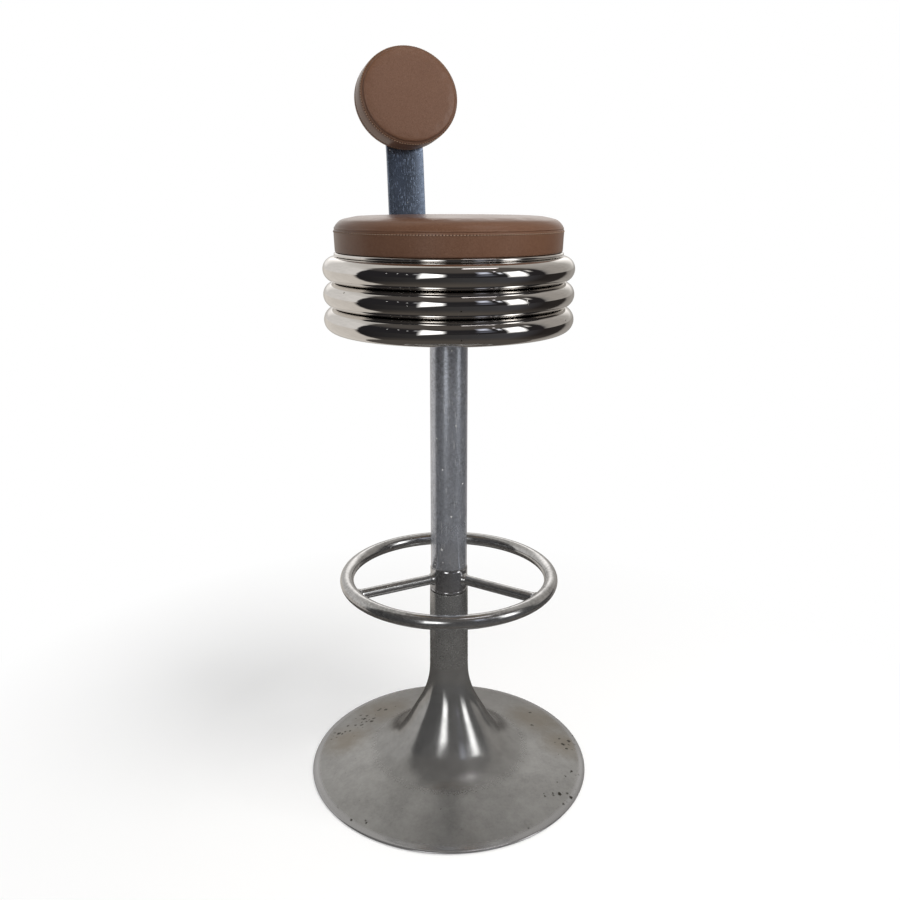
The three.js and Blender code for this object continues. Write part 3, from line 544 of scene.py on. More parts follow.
def brown_vinyl():
    """Satin brown vinyl with a fine pressed grain, painted shade in the grain's creases, and faint wear."""
    material, tree, shader = new_material("brown_vinyl")
    where = object_vector(tree)
    cells = add(tree, "ShaderNodeTexVoronoi", {"Vector": where}, Scale=750.0, feature="DISTANCE_TO_EDGE")
    creases = ramp(tree, cells.outputs["Distance"], [(0.0, 0.0), (0.14, 1.0)])
    fine = add(tree, "ShaderNodeTexNoise", {"Vector": where}, Scale=420.0, Detail=4.0, Roughness=0.7)
    soft = add(tree, "ShaderNodeTexNoise", {"Vector": where}, Scale=16.0, Detail=4.0, Roughness=0.55)
    tone = mix_colour(tree, soft.outputs["Fac"], (0.086, 0.042, 0.024), (0.115, 0.058, 0.035))
    worn = mix_colour(tree, ramp(tree, fine.outputs["Fac"], [(0.40, 0.0), (0.70, 0.5)]), tone,
                      (0.160, 0.088, 0.058))
    # The grain's creases are coloured darker: painted shade in the creases
    dark = mix_colour(tree, creases, (0.075, 0.033, 0.018), worn)
    tree.links.new(dark, shader.inputs["Base Color"])
    rough = summed(tree, 0.24, (soft.outputs["Fac"], 0.12))
    tree.links.new(rough, shader.inputs["Roughness"])
    shader.inputs["Specular IOR Level"].default_value = 0.38
    height = maths(tree, "ADD", creases, maths(tree, "MULTIPLY", fine.outputs["Fac"], 0.6))
    bump(tree, shader, height, 0.10, 0.0002)
    return material


def plain_finish(name, colour, roughness, metallic, scale, contrast):
    """A simple mottled finish for hidden and small pieces."""
    material, tree, shader = new_material(name)
    where = object_vector(tree)
    mottle = add(tree, "ShaderNodeTexNoise", {"Vector": where}, Scale=scale, Detail=5.0, Roughness=0.6)
    dark = tuple(c * (1 - contrast) for c in colour)
    tree.links.new(mix_colour(tree, mottle.outputs["Fac"], dark, colour), shader.inputs["Base Color"])
    rough = summed(tree, roughness, (mottle.outputs["Fac"], 0.15))
    tree.links.new(rough, shader.inputs["Roughness"])
    shader.inputs["Metallic"].default_value = metallic
    bump(tree, shader, mottle.outputs["Fac"], 0.15, 0.0003)
    return material


def plywood():
    """Clear-sealed birch plywood with grain along X and darker ply lines on its edge."""
    material, tree, shader = new_material("plywood")
    where = object_vector(tree)
    drawn = add(tree, "ShaderNodeMapping", {"Vector": where}, Scale=(1.0, 14.0, 14.0))
    grain = add(tree, "ShaderNodeTexNoise", {"Vector": drawn.outputs[0]}, Scale=12.0, Detail=6.0,
                Roughness=0.65, Distortion=0.6)
    fine = add(tree, "ShaderNodeTexNoise", {"Vector": drawn.outputs[0]}, Scale=90.0, Detail=3.0)
    tone = mix_colour(tree, grain.outputs["Fac"], (0.17, 0.105, 0.055), (0.29, 0.20, 0.12))
    tree.links.new(mix_colour(tree, ramp(tree, fine.outputs["Fac"], [(0.55, 0.0), (0.75, 0.6)]), tone,
                              (0.12, 0.07, 0.035)), shader.inputs["Base Color"])
    shader.inputs["Roughness"].default_value = 0.55
    bump(tree, shader, fine.outputs["Fac"], 0.2, 0.0003)
    return material


MIRROR = mirror_chrome()
# The bar's dark bluish tint is painted reflection of a dark blue room, laid into the plating's own colour
BAR_CHROME = worn_chrome("bar_chrome", (0.135, 0.165, 0.22), stretch=(30.0, 30.0, 1.0), scale=40.0,
                         base_rough=0.20, metallic=0.86, scratch=2.6, flecks=0.10, line=3.6)
# The column's grey is the plating's own; its blue cast is painted bluish light from its reflections
COLUMN_CHROME = worn_chrome("column_chrome", (0.50, 0.525, 0.58), stretch=(13.0, 13.0, 1.0), scale=50.0,
                            base_rough=0.28, metallic=0.84, scratch=1.8, flecks=0.25, streak=0.5,
                            line=2.1, bright_below=0.335)
HUB_CHROME = worn_chrome("hub_chrome", (0.50, 0.50, 0.51), stretch=(1.0, 1.0, 6.0), scale=90.0,
                         base_rough=0.10, metallic=0.94, scratch=0.5, flecks=0.02)
RING_CHROME = worn_chrome("ring_chrome", (0.49, 0.49, 0.49), stretch=(1.0, 1.0, 6.0), scale=90.0,
                          base_rough=0.12, metallic=0.94, scratch=0.5, flecks=0.05)
ALUMINIUM = spun_aluminium()
VINYL = brown_vinyl()
PLYWOOD = plywood()
# Colour, roughness, how metallic, scale of the mottle and its contrast
THREAD_FINISH = plain_finish("stitch_thread", (0.29, 0.19, 0.13), 0.6, 0.0, 900.0, 0.3)
# Near-black blobs at the needle holes: painted shade inside the holes, not a colour of the vinyl
HOLE_SHADE_FINISH = plain_finish("needle_hole_shade", (0.010, 0.006, 0.005), 0.9, 0.0, 900.0, 0.3)
RUBBER = plain_finish("floor_rubber", (0.022, 0.022, 0.022), 0.75, 0.0, 150.0, 0.4)
IRON = plain_finish("ballast_iron", (0.06, 0.055, 0.05), 0.7, 0.6, 120.0, 0.5)
ZINC = plain_finish("zinc_steel", (0.58, 0.57, 0.55), 0.28, 1.0, 260.0, 0.25)
BLACK_STEEL = plain_finish("black_steel", (0.03, 0.03, 0.032), 0.4, 0.0, 180.0, 0.35)
NYLON = plain_finish("nylon", (0.70, 0.68, 0.62), 0.5, 0.0, 200.0, 0.1)
FOAM = plain_finish("foam", (0.62, 0.52, 0.30), 0.9, 0.0, 900.0, 0.35)
SLOT_FINISH = {
    "base_aluminium": ALUMINIUM, "ballast_iron": IRON, "floor_rubber": RUBBER, "zinc_steel": ZINC,
    "black_steel": BLACK_STEEL, "worn_chrome": COLUMN_CHROME, "mirror_chrome": MIRROR, "nylon": NYLON,
    "plywood": PLYWOOD, "foam": FOAM, "brown_vinyl": VINYL,
}

# Every CAD node takes the finish of its material slot
for subpart in frame["record"]["subparts"]:
    node = frame["nodes"][subpart["node"]]
    node.data.materials.clear()
    node.data.materials.append(SLOT_FINISH[subpart["material_slot"]])


# Base

def flare(offset, foot, steps):
    """The trumpet's profile from neck to foot, moved in by an offset."""
    points = [(NECK_FLARE_RADIUS - offset + (foot - NECK_FLARE_RADIUS + offset) * widening,
               FLARE_TOP - (FLARE_TOP - FLARE_FOOT + offset) * drop) for widening, drop in FLARE_SHARES]
    return spline(points, steps)


def make_base():
    radius, bottom, top = node_sizes("base_trumpet")
    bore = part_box("spigot_sleeve")[1][0] + TOUCH
    roll = [(radius - RIM_ROLL_WIDTH * (1 - across), bottom + RIM_EDGE + RIM_ROLL_HEIGHT * up)
            for across, up in arc(0.0, 0.0, 1.0, 90 - RIM_ROLL_START, 0, 12)]
    outline = ([(bore, top)] + arc(NECK_TOP_RADIUS - EDGE_ROUND, top - EDGE_ROUND, EDGE_ROUND, 90, 0, 4)
               + flare(0.0, radius - FLARE_FOOT_INSET, 5) + roll
               + [(radius - RIM_EDGE * RIM_EDGE_SHARE, bottom + RIM_EDGE * RIM_EDGE_SHARE),
                  (radius - RIM_EDGE, bottom),
                  (radius - RIM_LIP, bottom), (radius - RIM_LIP, bottom + RIM_LIP_STEP)]
               + flare(SHELL_WALL, radius - FLARE_FOOT_INSET, 2)[::-1]
               + [(bore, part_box("spigot_sleeve")[0][2])])
    finish_mesh("base_shell", turned_bmesh(outline, ROUND, closed=True), ALUMINIUM,
                "base", ["base_trumpet"], sharp=50.0)
    low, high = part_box("floor_ring")
    ring = rounded_tube(high[0] - FLOOR_RING_WIDTH, high[0], low[2], high[2], EDGE_ROUND / 2)
    finish_mesh("floor_rubber_ring", turned_bmesh(ring, ROUND, closed=True), RUBBER,
                "base", ["floor_ring"])


# Column and footrest

def make_column():
    radius, bottom, top = node_sizes("column_tube")
    outline = rounded_tube(radius - COLUMN_WALL, radius, bottom, top, COLUMN_EDGE)
    finish_mesh("column", turned_bmesh(outline, SMALL_ROUND, closed=True), COLUMN_CHROME,
                "base", ["column_tube"])


def make_hub():
    bead, bottom, top = node_sizes("footrest_hub")
    bead = min(bead, HUB_RADIUS + HUB_BEAD_STEP)
    column = node_sizes("column_tube")[0]
    bore = column - COLUMN_WALL
    outline = ([(bore, bottom)]
               + arc(bead - HUB_BEAD_ROUND, bottom + HUB_BEAD_HEIGHT / 2, HUB_BEAD_ROUND, -90, 90, 8)
               + [(HUB_RADIUS, bottom + HUB_BEAD_HEIGHT),
                  (HUB_RADIUS, top - HUB_CHAMFER),
                  (HUB_RADIUS - HUB_CHAMFER_IN, top - HUB_CHAMFER + HUB_LIP),
                  (column + HUB_MOUTH, top - HUB_LIP), (column - HUB_MOUTH, top), (bore, top)])
    finish_mesh("hub", turned_bmesh(outline, SMALL_ROUND, closed=True), HUB_CHROME,
                "base", ["footrest_hub"])


def make_footrest():
    low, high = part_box("footrest_ring")
    centre = (low[2] + high[2]) / 2
    ring_radius = high[0] - RING_TUBE
    circle = arc(ring_radius, centre, RING_TUBE, 0, 360, 28)[:-1]
    finish_mesh("ring", turned_bmesh(circle, ROUND, closed=True), RING_CHROME,
                "base", ["footrest_ring"])
    inner = ring_radius - RING_TUBE
    profile = [(0.0, HUB_RADIUS - SPOKE_SINK),
               (SPOKE_RADIUS + WELD_START[0], HUB_RADIUS + WELD_START[1])]
    for weld, face in ((HUB_WELD, HUB_RADIUS), (RING_WELD, inner)):
        profile += spline([(SPOKE_RADIUS + out, face + along) for out, along in weld], 4)
    profile += [(SPOKE_RADIUS, inner + SPOKE_IN_RING), (0.0, inner + SPOKE_IN_RING)]
    for i in range(SPOKE_COUNT):
        angle = math.radians(SPOKE_START + 360.0 * i / SPOKE_COUNT)
        bm = turned_bmesh(profile, SPOKE_ROUND)
        turn = Matrix.Rotation(angle, 4, "Z") @ Matrix.Rotation(math.pi / 2, 4, "Y")
        bmesh.ops.transform(bm, matrix=Matrix.Translation((0, 0, centre)) @ turn, verts=bm.verts)
        finish_mesh(f"spoke_{i + 1}", bm, RING_CHROME, "base",
                    [f"footrest_spoke_{i + 1}"])


# Seat

def make_hoops():
    for name in HOOP_NODES:
        low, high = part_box(name)
        centre = (low[2] + high[2]) / 2
        circle = arc(high[0] - HOOP_TUBE, centre, HOOP_TUBE, 0, 360, 48)[:-1]
        finish_mesh(name + "_tube", turned_bmesh(circle, ROUND, closed=True), MIRROR,
                    "seat", [name])


def make_pan():
    radius, _, top = node_sizes("seat_pan")
    bead = radius - PAN_BEAD
    outline = ([(0.0, top - PAN_SHEET), (bead - PAN_BEAD, top - PAN_SHEET)]
               + arc(bead, top - PAN_BEAD, PAN_BEAD, -150, 90, 18) + [(0.0, top)])
    finish_mesh("pan", turned_bmesh(outline, ROUND), MIRROR, "seat", ["seat_pan"])


def make_boards():
    """The round board under the seat, and the swivel's plate under that."""
    for name, node, edge, finish, slot in (
            ("seat_board", "bottom_board", BOARD_EDGE, PLYWOOD, "plywood"),
            ("swivel_flange", "swivel_plate", PLATE_EDGE, BLACK_STEEL, "black_steel")):
        outline = rounded_tube(0.0, *node_sizes(node), edge)
        finish_mesh(name, turned_bmesh(outline, SMALL_ROUND), finish, "seat", [node])


# Cushions: a turned cover whose panels swell between their sewn seams. The outlines run from the
# underside to the middle of the top, as shares of the cover's radius and height.

SEAT_OUTLINE = [(0.984, 0.0), (0.992, 0.025), (0.994, 0.10), (0.996, 0.25), (0.9985, 0.43), (1, 0.56),
                (0.9985, 0.609), (0.9940, 0.622), (0.996, 0.634), (0.997, 0.66), (0.992, 0.705),
                (0.983, 0.754), (0.973, 0.793), (0.961, 0.83), (0.943, 0.873), (0.916, 0.907),
                (0.864, 0.941), (0.79, 0.963), (0.65, 0.979), (0.35, 0.993), (0, 1)]
PAD_OUTLINE = [(0.94, 0.0), (0.98, 0.03), (0.99, 0.10), (0.988, 0.15), (0.982, 0.17), (0.989, 0.19),
               (0.998, 0.32), (1.0, 0.50), (0.999, 0.68), (0.994, 0.78), (0.983, 0.835), (0.966, 0.864),
               (0.950, 0.868), (0.944, 0.878), (0.943, 0.905), (0.934, 0.940), (0.915, 0.966),
               (0.880, 0.981), (0.80, 0.989), (0.6, 0.995), (0.3, 0.999), (0.0, 1.0)]


def cushion_bmesh(shares, radius, height, steps):
    """The cover's shape, flat below, as a closed turned mesh."""
    outline = spline([(r * radius, h * height) for r, h in shares], 4)
    return turned_bmesh([(0.0, 0.0), (radius * 0.5, 0.0)] + outline, steps)


def swell(piece, held, pressure, cap):
    """Runs cloth under inner pressure with the seams held, then caps how far each point moved."""
    group = piece.vertex_groups.new(name="sewn")
    group.add(held, 1.0, "REPLACE")
    start = [v.co.copy() for v in piece.data.vertices]
    modifier = piece.modifiers.new("cloth", "CLOTH")
    cloth = modifier.settings
    for key, value in CLOTH.items():
        setattr(cloth, key, value)
    cloth.uniform_pressure_force = pressure
    cloth.vertex_group_mass = "sewn"
    cloth.effector_weights.gravity = 0.0
    for step in range(1, CLOTH_FRAMES + 1):
        scene.frame_set(step)
    shape = piece.evaluated_get(bpy.context.evaluated_depsgraph_get()).to_mesh()
    moved = [v.co.copy() for v in shape.vertices]
    piece.modifiers.remove(modifier)
    piece.vertex_groups.remove(group)
    scene.frame_set(1)
    for vertex, before, after in zip(piece.data.vertices, start, moved):
        push = after - before
        if push.length > cap:
            push *= cap / push.length
        vertex.co = before + push


def make_cushion(name, nodes, shares, radius, height, seams, place, steps, cap, ripple, pressure):
    """A padded cover: swollen by cloth, brought back to size, puckered at its seams, put in place."""
    bm = cushion_bmesh(shares, radius, height, steps)
    piece = finish_mesh(name, bm, VINYL, None, sharp=180.0)
    held = []
    for vertex in piece.data.vertices:
        span = math.hypot(vertex.co.x, vertex.co.y)
        sewn = any(abs(vertex.co.z - h) < SEAM_HOLD and span > r - 3 * SEAM_HOLD for r, h in seams)
        if sewn or vertex.co.z < 3 * SEAM_HOLD:
            held.append(vertex.index)
    swell(piece, held, pressure, cap)
    widest = max(math.hypot(v.co.x, v.co.y) for v in piece.data.vertices)
    highest = max(v.co.z for v in piece.data.vertices)
    for vertex in piece.data.vertices:
        vertex.co.x *= radius / widest
        vertex.co.y *= radius / widest
        vertex.co.z *= height / highest
        span = math.hypot(vertex.co.x, vertex.co.y)
        if span < PUCKER_REACH:
            continue
        for seam_radius, seam_height in seams:
            away = abs(vertex.co.z - seam_height)
            if away > PUCKER_REACH or span < seam_radius - PUCKER_REACH:
                continue
            fade = (1 - away / PUCKER_REACH) ** 2
            spot = Vector((vertex.co.x / span, vertex.co.y / span, seam_height)) * PUCKER_SCALE
            pull = 1 + noise.noise(spot) * ripple * fade
            vertex.co.x *= pull
            vertex.co.y *= pull
    piece.data.transform(place)
    smooth = piece.modifiers.new("smooth", "SUBSURF")
    smooth.levels = 1
    smooth.render_levels = 1
    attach(piece, "seat")
    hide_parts(*nodes)
    return piece


def stitch_row(name, piece, place, reach, height, hole):
    """A ring of short thread stitches, or of near-black blobs between them that paint the shade in the
    needle holes, lying on the cover.
    """
    tree = BVHTree.FromObject(piece, bpy.context.evaluated_depsgraph_get())
    count = round(2 * math.pi * reach / STITCH_PITCH)
    size = (HOLE_RADIUS, HOLE_RADIUS, HOLE_RADIUS) if hole else (THREAD, STITCH_LENGTH / 2, THREAD)
    bm = bmesh.new()
    for i in range(count):
        angle = 2 * math.pi * (i + (0.5 if hole else 0.0)) / count
        start = place @ (Matrix.Rotation(angle, 4, "Z") @ Vector((reach * 1.2, 0, height)))
        end = place @ Vector((0, 0, height))
        hit, normal, _, _ = tree.ray_cast(start, (end - start).normalized())
        if hit is None:
            continue
        made = bmesh.ops.create_uvsphere(bm, u_segments=6, v_segments=5, radius=1.0)["verts"]
        along = place.to_3x3() @ Vector((-math.sin(angle), math.cos(angle), 0))
        across = normal.cross(along).normalized()
        lean = Matrix.Rotation(0.0 if hole else STITCH_LEAN, 3, normal)
        turn = Matrix((normal, lean @ along, lean @ across)).transposed().to_4x4()
        sink = -HOLE_SINK if hole else THREAD_LIFT
        spot = Matrix.Translation(hit + normal * sink)
        bmesh.ops.transform(bm, verts=made, matrix=spot @ turn @ Matrix.Diagonal((*size, 1)))
    # The blobs at the holes take the near-black finish of painted shade
    finish = HOLE_SHADE_FINISH if hole else THREAD_FINISH
    finish_mesh(name, bm, finish, "seat", sharp=180.0)


def sew(prefix, piece, place, reach, height):
    """One row of stitches with the painted shade of its needle holes."""
    stitch_row(prefix + "_stitches", piece, place, reach, height, hole=False)
    stitch_row(prefix + "_needle_hole_shades", piece, place, reach, height, hole=True)


def make_seat_cushion():
    radius, bottom, top = node_sizes("seat_cover")
    height = top - bottom
    place = Matrix.Translation((0, 0, bottom))
    seam = (radius * SEAT_SEAM_SHARES[0], height * SEAT_SEAM_SHARES[1])
    piece = make_cushion("seat_cushion", ["seat_cover", "seat_foam"], SEAT_OUTLINE, radius, height,
                         [seam], place, **SEAT_COVER)
    sew("seat", piece, place, radius, seam[1] - SEAT_STITCH_DROP)


def bar_corners():
    """The bar's mid line in the Y and Z plane: (point, bend radius) at each corner."""
    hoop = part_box("hoop_bottom")[1][0]
    radius = hoop + BAR_GAP + BAR_THICKNESS / 2
    foot_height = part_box("bottom_board")[0][2] - TOUCH - BAR_THICKNESS / 2
    pad_bend = radius + (BAR_PAD_BEND - BAR_LEAN_HEIGHT) * math.tan(BAR_LEAN)
    length = PAD_RISE + BAR_PAST_PAD
    return [((radius - BAR_THICKNESS / 2 - BAR_FOOT_LENGTH, foot_height), 0.0),
            ((radius, foot_height), BAR_FOOT_BEND),
            ((radius, BAR_LEAN_HEIGHT), BAR_BEND),
            ((pad_bend, BAR_PAD_BEND), BAR_BEND),
            ((pad_bend + math.sin(PAD_TILT) * length, BAR_PAD_BEND + math.cos(PAD_TILT) * length), 0.0)]


def bent_line(corners, steps):
    """Points along the corners, with each bend turned as an arc."""
    line = []
    for i, (at, bend) in enumerate(corners):
        here = Vector(at)
        if bend == 0.0:
            line.append(here)
            continue
        before = (here - Vector(corners[i - 1][0])).normalized()
        after = (Vector(corners[i + 1][0]) - here).normalized()
        turn = math.atan2(before.x * after.y - before.y * after.x, before.dot(after))
        start = here - before * bend * math.tan(abs(turn) / 2)
        side = Vector((-before.y, before.x)) * math.copysign(1, turn)
        centre = start + side * bend
        arm = start - centre
        for k in range(steps + 1):
            angle = turn * k / steps
            line.append(centre + Vector((arm.x * math.cos(angle) - arm.y * math.sin(angle),
                                         arm.x * math.sin(angle) + arm.y * math.cos(angle))))
    return line


def make_bar():
    """A strip drawn along its mid line, rounded at its upper corners, thickened and eased."""
    line = bent_line(bar_corners(), 10)
    bm = bmesh.new()
    points = [bm.verts.new((-BAR_WIDTH / 2, p.x, p.y)) for p in line]
    edges = [bm.edges.new(pair) for pair in zip(points, points[1:])]
    made = bmesh.ops.extrude_edge_only(bm, edges=edges)["geom"]
    far = [g for g in made if isinstance(g, bmesh.types.BMVert)]
    bmesh.ops.translate(bm, verts=far, vec=(BAR_WIDTH, 0, 0))
    top = max(v.co.z for v in bm.verts)
    corners = [v for v in bm.verts if v.co.z > top - 1e-5]
    bmesh.ops.bevel(bm, geom=corners, offset=BAR_CORNER, offset_type="OFFSET", segments=8, profile=0.5,
                    affect="VERTICES", material=-1)
    bmesh.ops.recalc_face_normals(bm, faces=bm.faces)
    bmesh.ops.solidify(bm, geom=bm.faces[:], thickness=BAR_THICKNESS)
    centre_strip(bm, line, BAR_THICKNESS / 2)
    edges = [e for e in bm.edges if len(e.link_faces) == 2 and e.calc_face_angle() > BAR_EDGE_FROM]
    bmesh.ops.bevel(bm, geom=edges, offset=BAR_EDGE, offset_type="OFFSET", segments=3, profile=0.5,
                    affect="EDGES", material=-1)
    finish_mesh("bar", bm, BAR_CHROME, "seat", ["back_bar"], sharp=40.0)


def centre_strip(bm, line, middle):
    """Centres the thickened strip on its mid line, whichever side it grew to."""
    foot = line[0]
    heights = [v.co.z for v in bm.verts if abs(v.co.y - foot.x) < 1e-4]
    grown_up = max(heights) > foot.y + middle
    bm.normal_update()
    for vertex in bm.verts:
        nearest = min(range(len(line) - 1), key=lambda i: segment_gap(line[i], line[i + 1], vertex.co))
        way = (line[nearest + 1] - line[nearest]).normalized()
        normal = Vector((0, -way.y, way.x))
        vertex.co -= normal * (middle if grown_up else -middle)


def segment_gap(start, end, at):
    """Distance in the Y and Z plane from a point to a stretch of the line."""
    way = end - start
    here = Vector((at.y, at.z)) - start
    share = max(0.0, min(1.0, here.dot(way) / way.length_squared))
    return (here - way * share).length


def pad_matrix():
    """From the pad's own axis, zero at its back and pointing to the sitter, to the stool's frame."""
    bend_y, bend_z = bar_corners()[3][0]
    seat = BAR_THICKNESS / 2 + TOUCH
    place = Vector((0, bend_y + math.sin(PAD_TILT) * PAD_RISE - math.cos(PAD_TILT) * seat,
                    bend_z + math.cos(PAD_TILT) * PAD_RISE + math.sin(PAD_TILT) * seat))
    turned = Matrix.Translation(place) @ Matrix.Rotation(math.pi / 2 - PAD_TILT, 4, "X")
    return turned @ Matrix.Diagonal((*PAD_STRETCH, 1))


def make_back_pad():
    place = pad_matrix()
    seams = [(PAD_RADIUS * across, PAD_THICKNESS * up) for across, up in PAD_SEAM_SHARES]
    piece = make_cushion("back_pad", ["pad_cover", "pad_foam"], PAD_OUTLINE, PAD_RADIUS, PAD_THICKNESS,
                         seams, place, **PAD_COVER)
    for side, share in PAD_STITCH_SHARES:
        sew("pad_" + side, piece, place, PAD_RADIUS, PAD_THICKNESS * share)


# The room that reflections see. Its tones run round from behind the stool, over the camera's left,
# the camera at the middle, and its right, and so back.
WALL_TONES = [(0.0, (0.48, 0.455, 0.43)), (0.08, (0.68, 0.66, 0.635)), (0.250, (0.74, 0.72, 0.70)),
              (0.258, (0.020, 0.019, 0.021)), (0.5, (0.022, 0.021, 0.023)), (0.758, (0.022, 0.020, 0.021)),
              (0.772, (0.28, 0.265, 0.25)), (0.80, (0.36, 0.335, 0.31)), (0.86, (0.38, 0.355, 0.33)),
              (0.92, (0.50, 0.48, 0.45)), (1.0, (0.48, 0.455, 0.43))]
# The floor near the walls, and the floor nearer to the stool
SKIRT_TONES = [(0.0, (0.34, 0.32, 0.295)), (0.08, (0.70, 0.66, 0.61)), (0.240, (0.64, 0.60, 0.555)),
               (0.254, (0.016, 0.015, 0.016)), (0.5, (0.045, 0.043, 0.043)), (0.68, (0.060, 0.060, 0.066)),
               (0.765, (0.022, 0.019, 0.018)), (0.855, (0.030, 0.026, 0.024)), (0.875, (0.28, 0.26, 0.24)),
               (0.91, (0.36, 0.335, 0.31)), (1.0, (0.34, 0.32, 0.295))]
FLOOR_TONES = [(0.0, (0.46, 0.43, 0.40)), (0.08, (0.60, 0.56, 0.52)), (0.235, (0.52, 0.485, 0.44)),
               (0.262, (0.070, 0.060, 0.052)), (0.5, (0.085, 0.075, 0.066)), (0.80, (0.075, 0.065, 0.056)),
               (0.85, (0.10, 0.088, 0.078)), (0.90, (0.22, 0.20, 0.18)), (1.0, (0.40, 0.37, 0.345))]
CEILING_TONES = [(0.0, (0.56, 0.54, 0.51)), (0.20, (0.56, 0.54, 0.51)), (0.228, (0.50, 0.48, 0.455)),
                 (0.243, (0.09, 0.082, 0.076)), (0.5, (0.085, 0.075, 0.068)), (0.757, (0.10, 0.090, 0.082)),
                 (0.78, (0.34, 0.32, 0.30)), (1.0, (0.56, 0.54, 0.51))]
# Name, azimuths from the camera's side, elevations seen from the hoops, colour, strength, and how
# much the card narrows towards its second azimuth
WINDOWS = [
    ("window_left", -28.5, -1, -14, 40, (1.0, 1.0, 1.0), 4.8, 0.62),
    ("window_left_edge", -33, -25, 19, 30, (0.85, 0.85, 0.88), 0.5, 0.0),
    ("window_right", 51, 75, -6, 38, (1.0, 1.0, 1.0), 4.6, 0.0),
    ("window_right_near", 45, 51, 20, 36, (0.90, 0.92, 1.0), 1.3, 0.0),
    ("window_right_far", 77, 84, 21, 38, (1.0, 0.97, 0.93), 0.9, 0.0),
    ("window_small", 25, 42, 22, 44, (0.80, 0.84, 1.0), 1.1, 0.0),
    ("shade_small", 22, 44, 8, 22, (0.16, 0.17, 0.21), 1.0, 0.0),
    ("lamp_small", 46, 50, 40, 45, (1.0, 0.95, 1.0), 2.5, 0.0),
    ("spot_one", -59, -57.3, 22, 25, (1.0, 1.0, 1.0), 2.0, 0.0),
    ("spot_two", -48, -46.5, 24, 27, (1.0, 1.0, 1.0), 2.5, 0.0),
    ("spot_three", -38.5, -36.5, 19, 24, (1.0, 1.0, 1.0), 1.2, 0.0),
    ("shelf_line", -26, 40, 10.5, 11.3, (0.20, 0.18, 0.16), 0.5, 0.0),
]
WINDOW_REACH = 6.0
CARD_STEPS = (0.0, 0.15, 0.3, 0.5, 0.7, 0.85, 1.0)
CARD_FADE = 0.38
HOOP_HEIGHT = 0.70
# A card close behind the stool: azimuths, heights, reach, colour, strength and taper
LIGHT_BEHIND = (138, 222, 0.74, 1.75, 1.7, (1.0, 0.97, 0.94), 1.9, 0.0)
# A long lamp overhead: its outline to the camera's right and away from it, and its height
STRIP_OUTLINE = [(0.59, -1.27), (2.12, -0.58), (2.12, -0.08), (0.59, -0.77)]
STRIP_HEIGHT = 5.0
STRIP_COLOUR = (1.0, 0.95, 0.965)
STRIP_STRENGTH = 2.2
NEAR_FLOOR_REACH = 0.62
NEAR_FLOOR_LIFT = 0.0004
NEAR_FLOOR_TONE = (0.085, 0.075, 0.066)
FLOOR_SIZE = 6.0
# Name, azimuth from the camera's side, elevation, reach, width, power and colour
LAMPS = [
    ("key", 60, 58, 3.0, 1.3, 62.0, (1.0, 0.985, 0.96)),
    ("front", 26, 26, 3.4, 2.6, 66.0, (1.0, 0.985, 0.96)),
    ("fill", -60, 25, 3.2, 2.2, 4.5, (0.95, 0.97, 1.0)),
]
LAMP_AIM = Vector((0, 0, 0.5))

# Studio: white floor and world for the camera, and dark and bright cards that only reflections see

def emission(name, colour, strength=1.0):
    material = bpy.data.materials.new(name)
    material.use_nodes = True
    tree = material.node_tree
    tree.nodes.clear()
    glow = add(tree, "ShaderNodeEmission", Color=(*colour, 1), Strength=strength)
    out = tree.nodes.new("ShaderNodeOutputMaterial")
    tree.links.new(glow.outputs[0], out.inputs["Surface"])
    return material


def card(name, azimuth_from, azimuth_to, low, high, reach, colour, strength, taper):
    """A curved card round the stool, seen only in reflections and fading towards its edges. Azimuths
    are from the camera's side, in degrees, positive to the camera's right."""
    bm = bmesh.new()
    glow = bm.verts.layers.float.new("glow")
    rows = []
    for up in CARD_STEPS:
        row = []
        for across in CARD_STEPS:
            angle = math.radians(CAMERA_AZIMUTH + azimuth_from + (azimuth_to - azimuth_from) * across)
            level = (low + high) / 2 + (high - low) * (up - 0.5) * (1 - taper * across)
            spot = bm.verts.new((reach * math.sin(angle), -reach * math.cos(angle), level))
            edge = min(across, 1 - across, up, 1 - up)
            spot[glow] = min(1.0, edge / CARD_FADE)
            row.append(spot)
        rows.append(row)
    for lower, upper in zip(rows, rows[1:]):
        for i in range(len(lower) - 1):
            bm.faces.new((lower[i], lower[i + 1], upper[i + 1], upper[i]))
    material = emission(name, colour, strength)
    tree = material.node_tree
    fade = add(tree, "ShaderNodeAttribute", attribute_name="glow").outputs["Fac"]
    kinds = {node.type: node for node in tree.nodes}
    clear = add(tree, "ShaderNodeBsdfTransparent")
    both = add(tree, "ShaderNodeMixShader",
               {0: maths(tree, "POWER", fade, 1.5), 1: clear.outputs[0], 2: kinds["EMISSION"].outputs[0]})
    tree.links.new(both.outputs[0], kinds["OUTPUT_MATERIAL"].inputs["Surface"])
    reflection_only(name, bm, material)


def reflection_only(name, bm, material):
    """A stage piece that only glossy surfaces see."""
    mesh = bpy.data.meshes.new(name)
    bm.to_mesh(mesh)
    bm.free()
    mesh.materials.append(material)
    piece = bpy.data.objects.new(name, mesh)
    scene.collection.objects.link(piece)
    piece.visible_camera = False
    piece.visible_diffuse = False
    piece.visible_shadow = False
    piece.visible_transmission = False
    piece.visible_volume_scatter = False


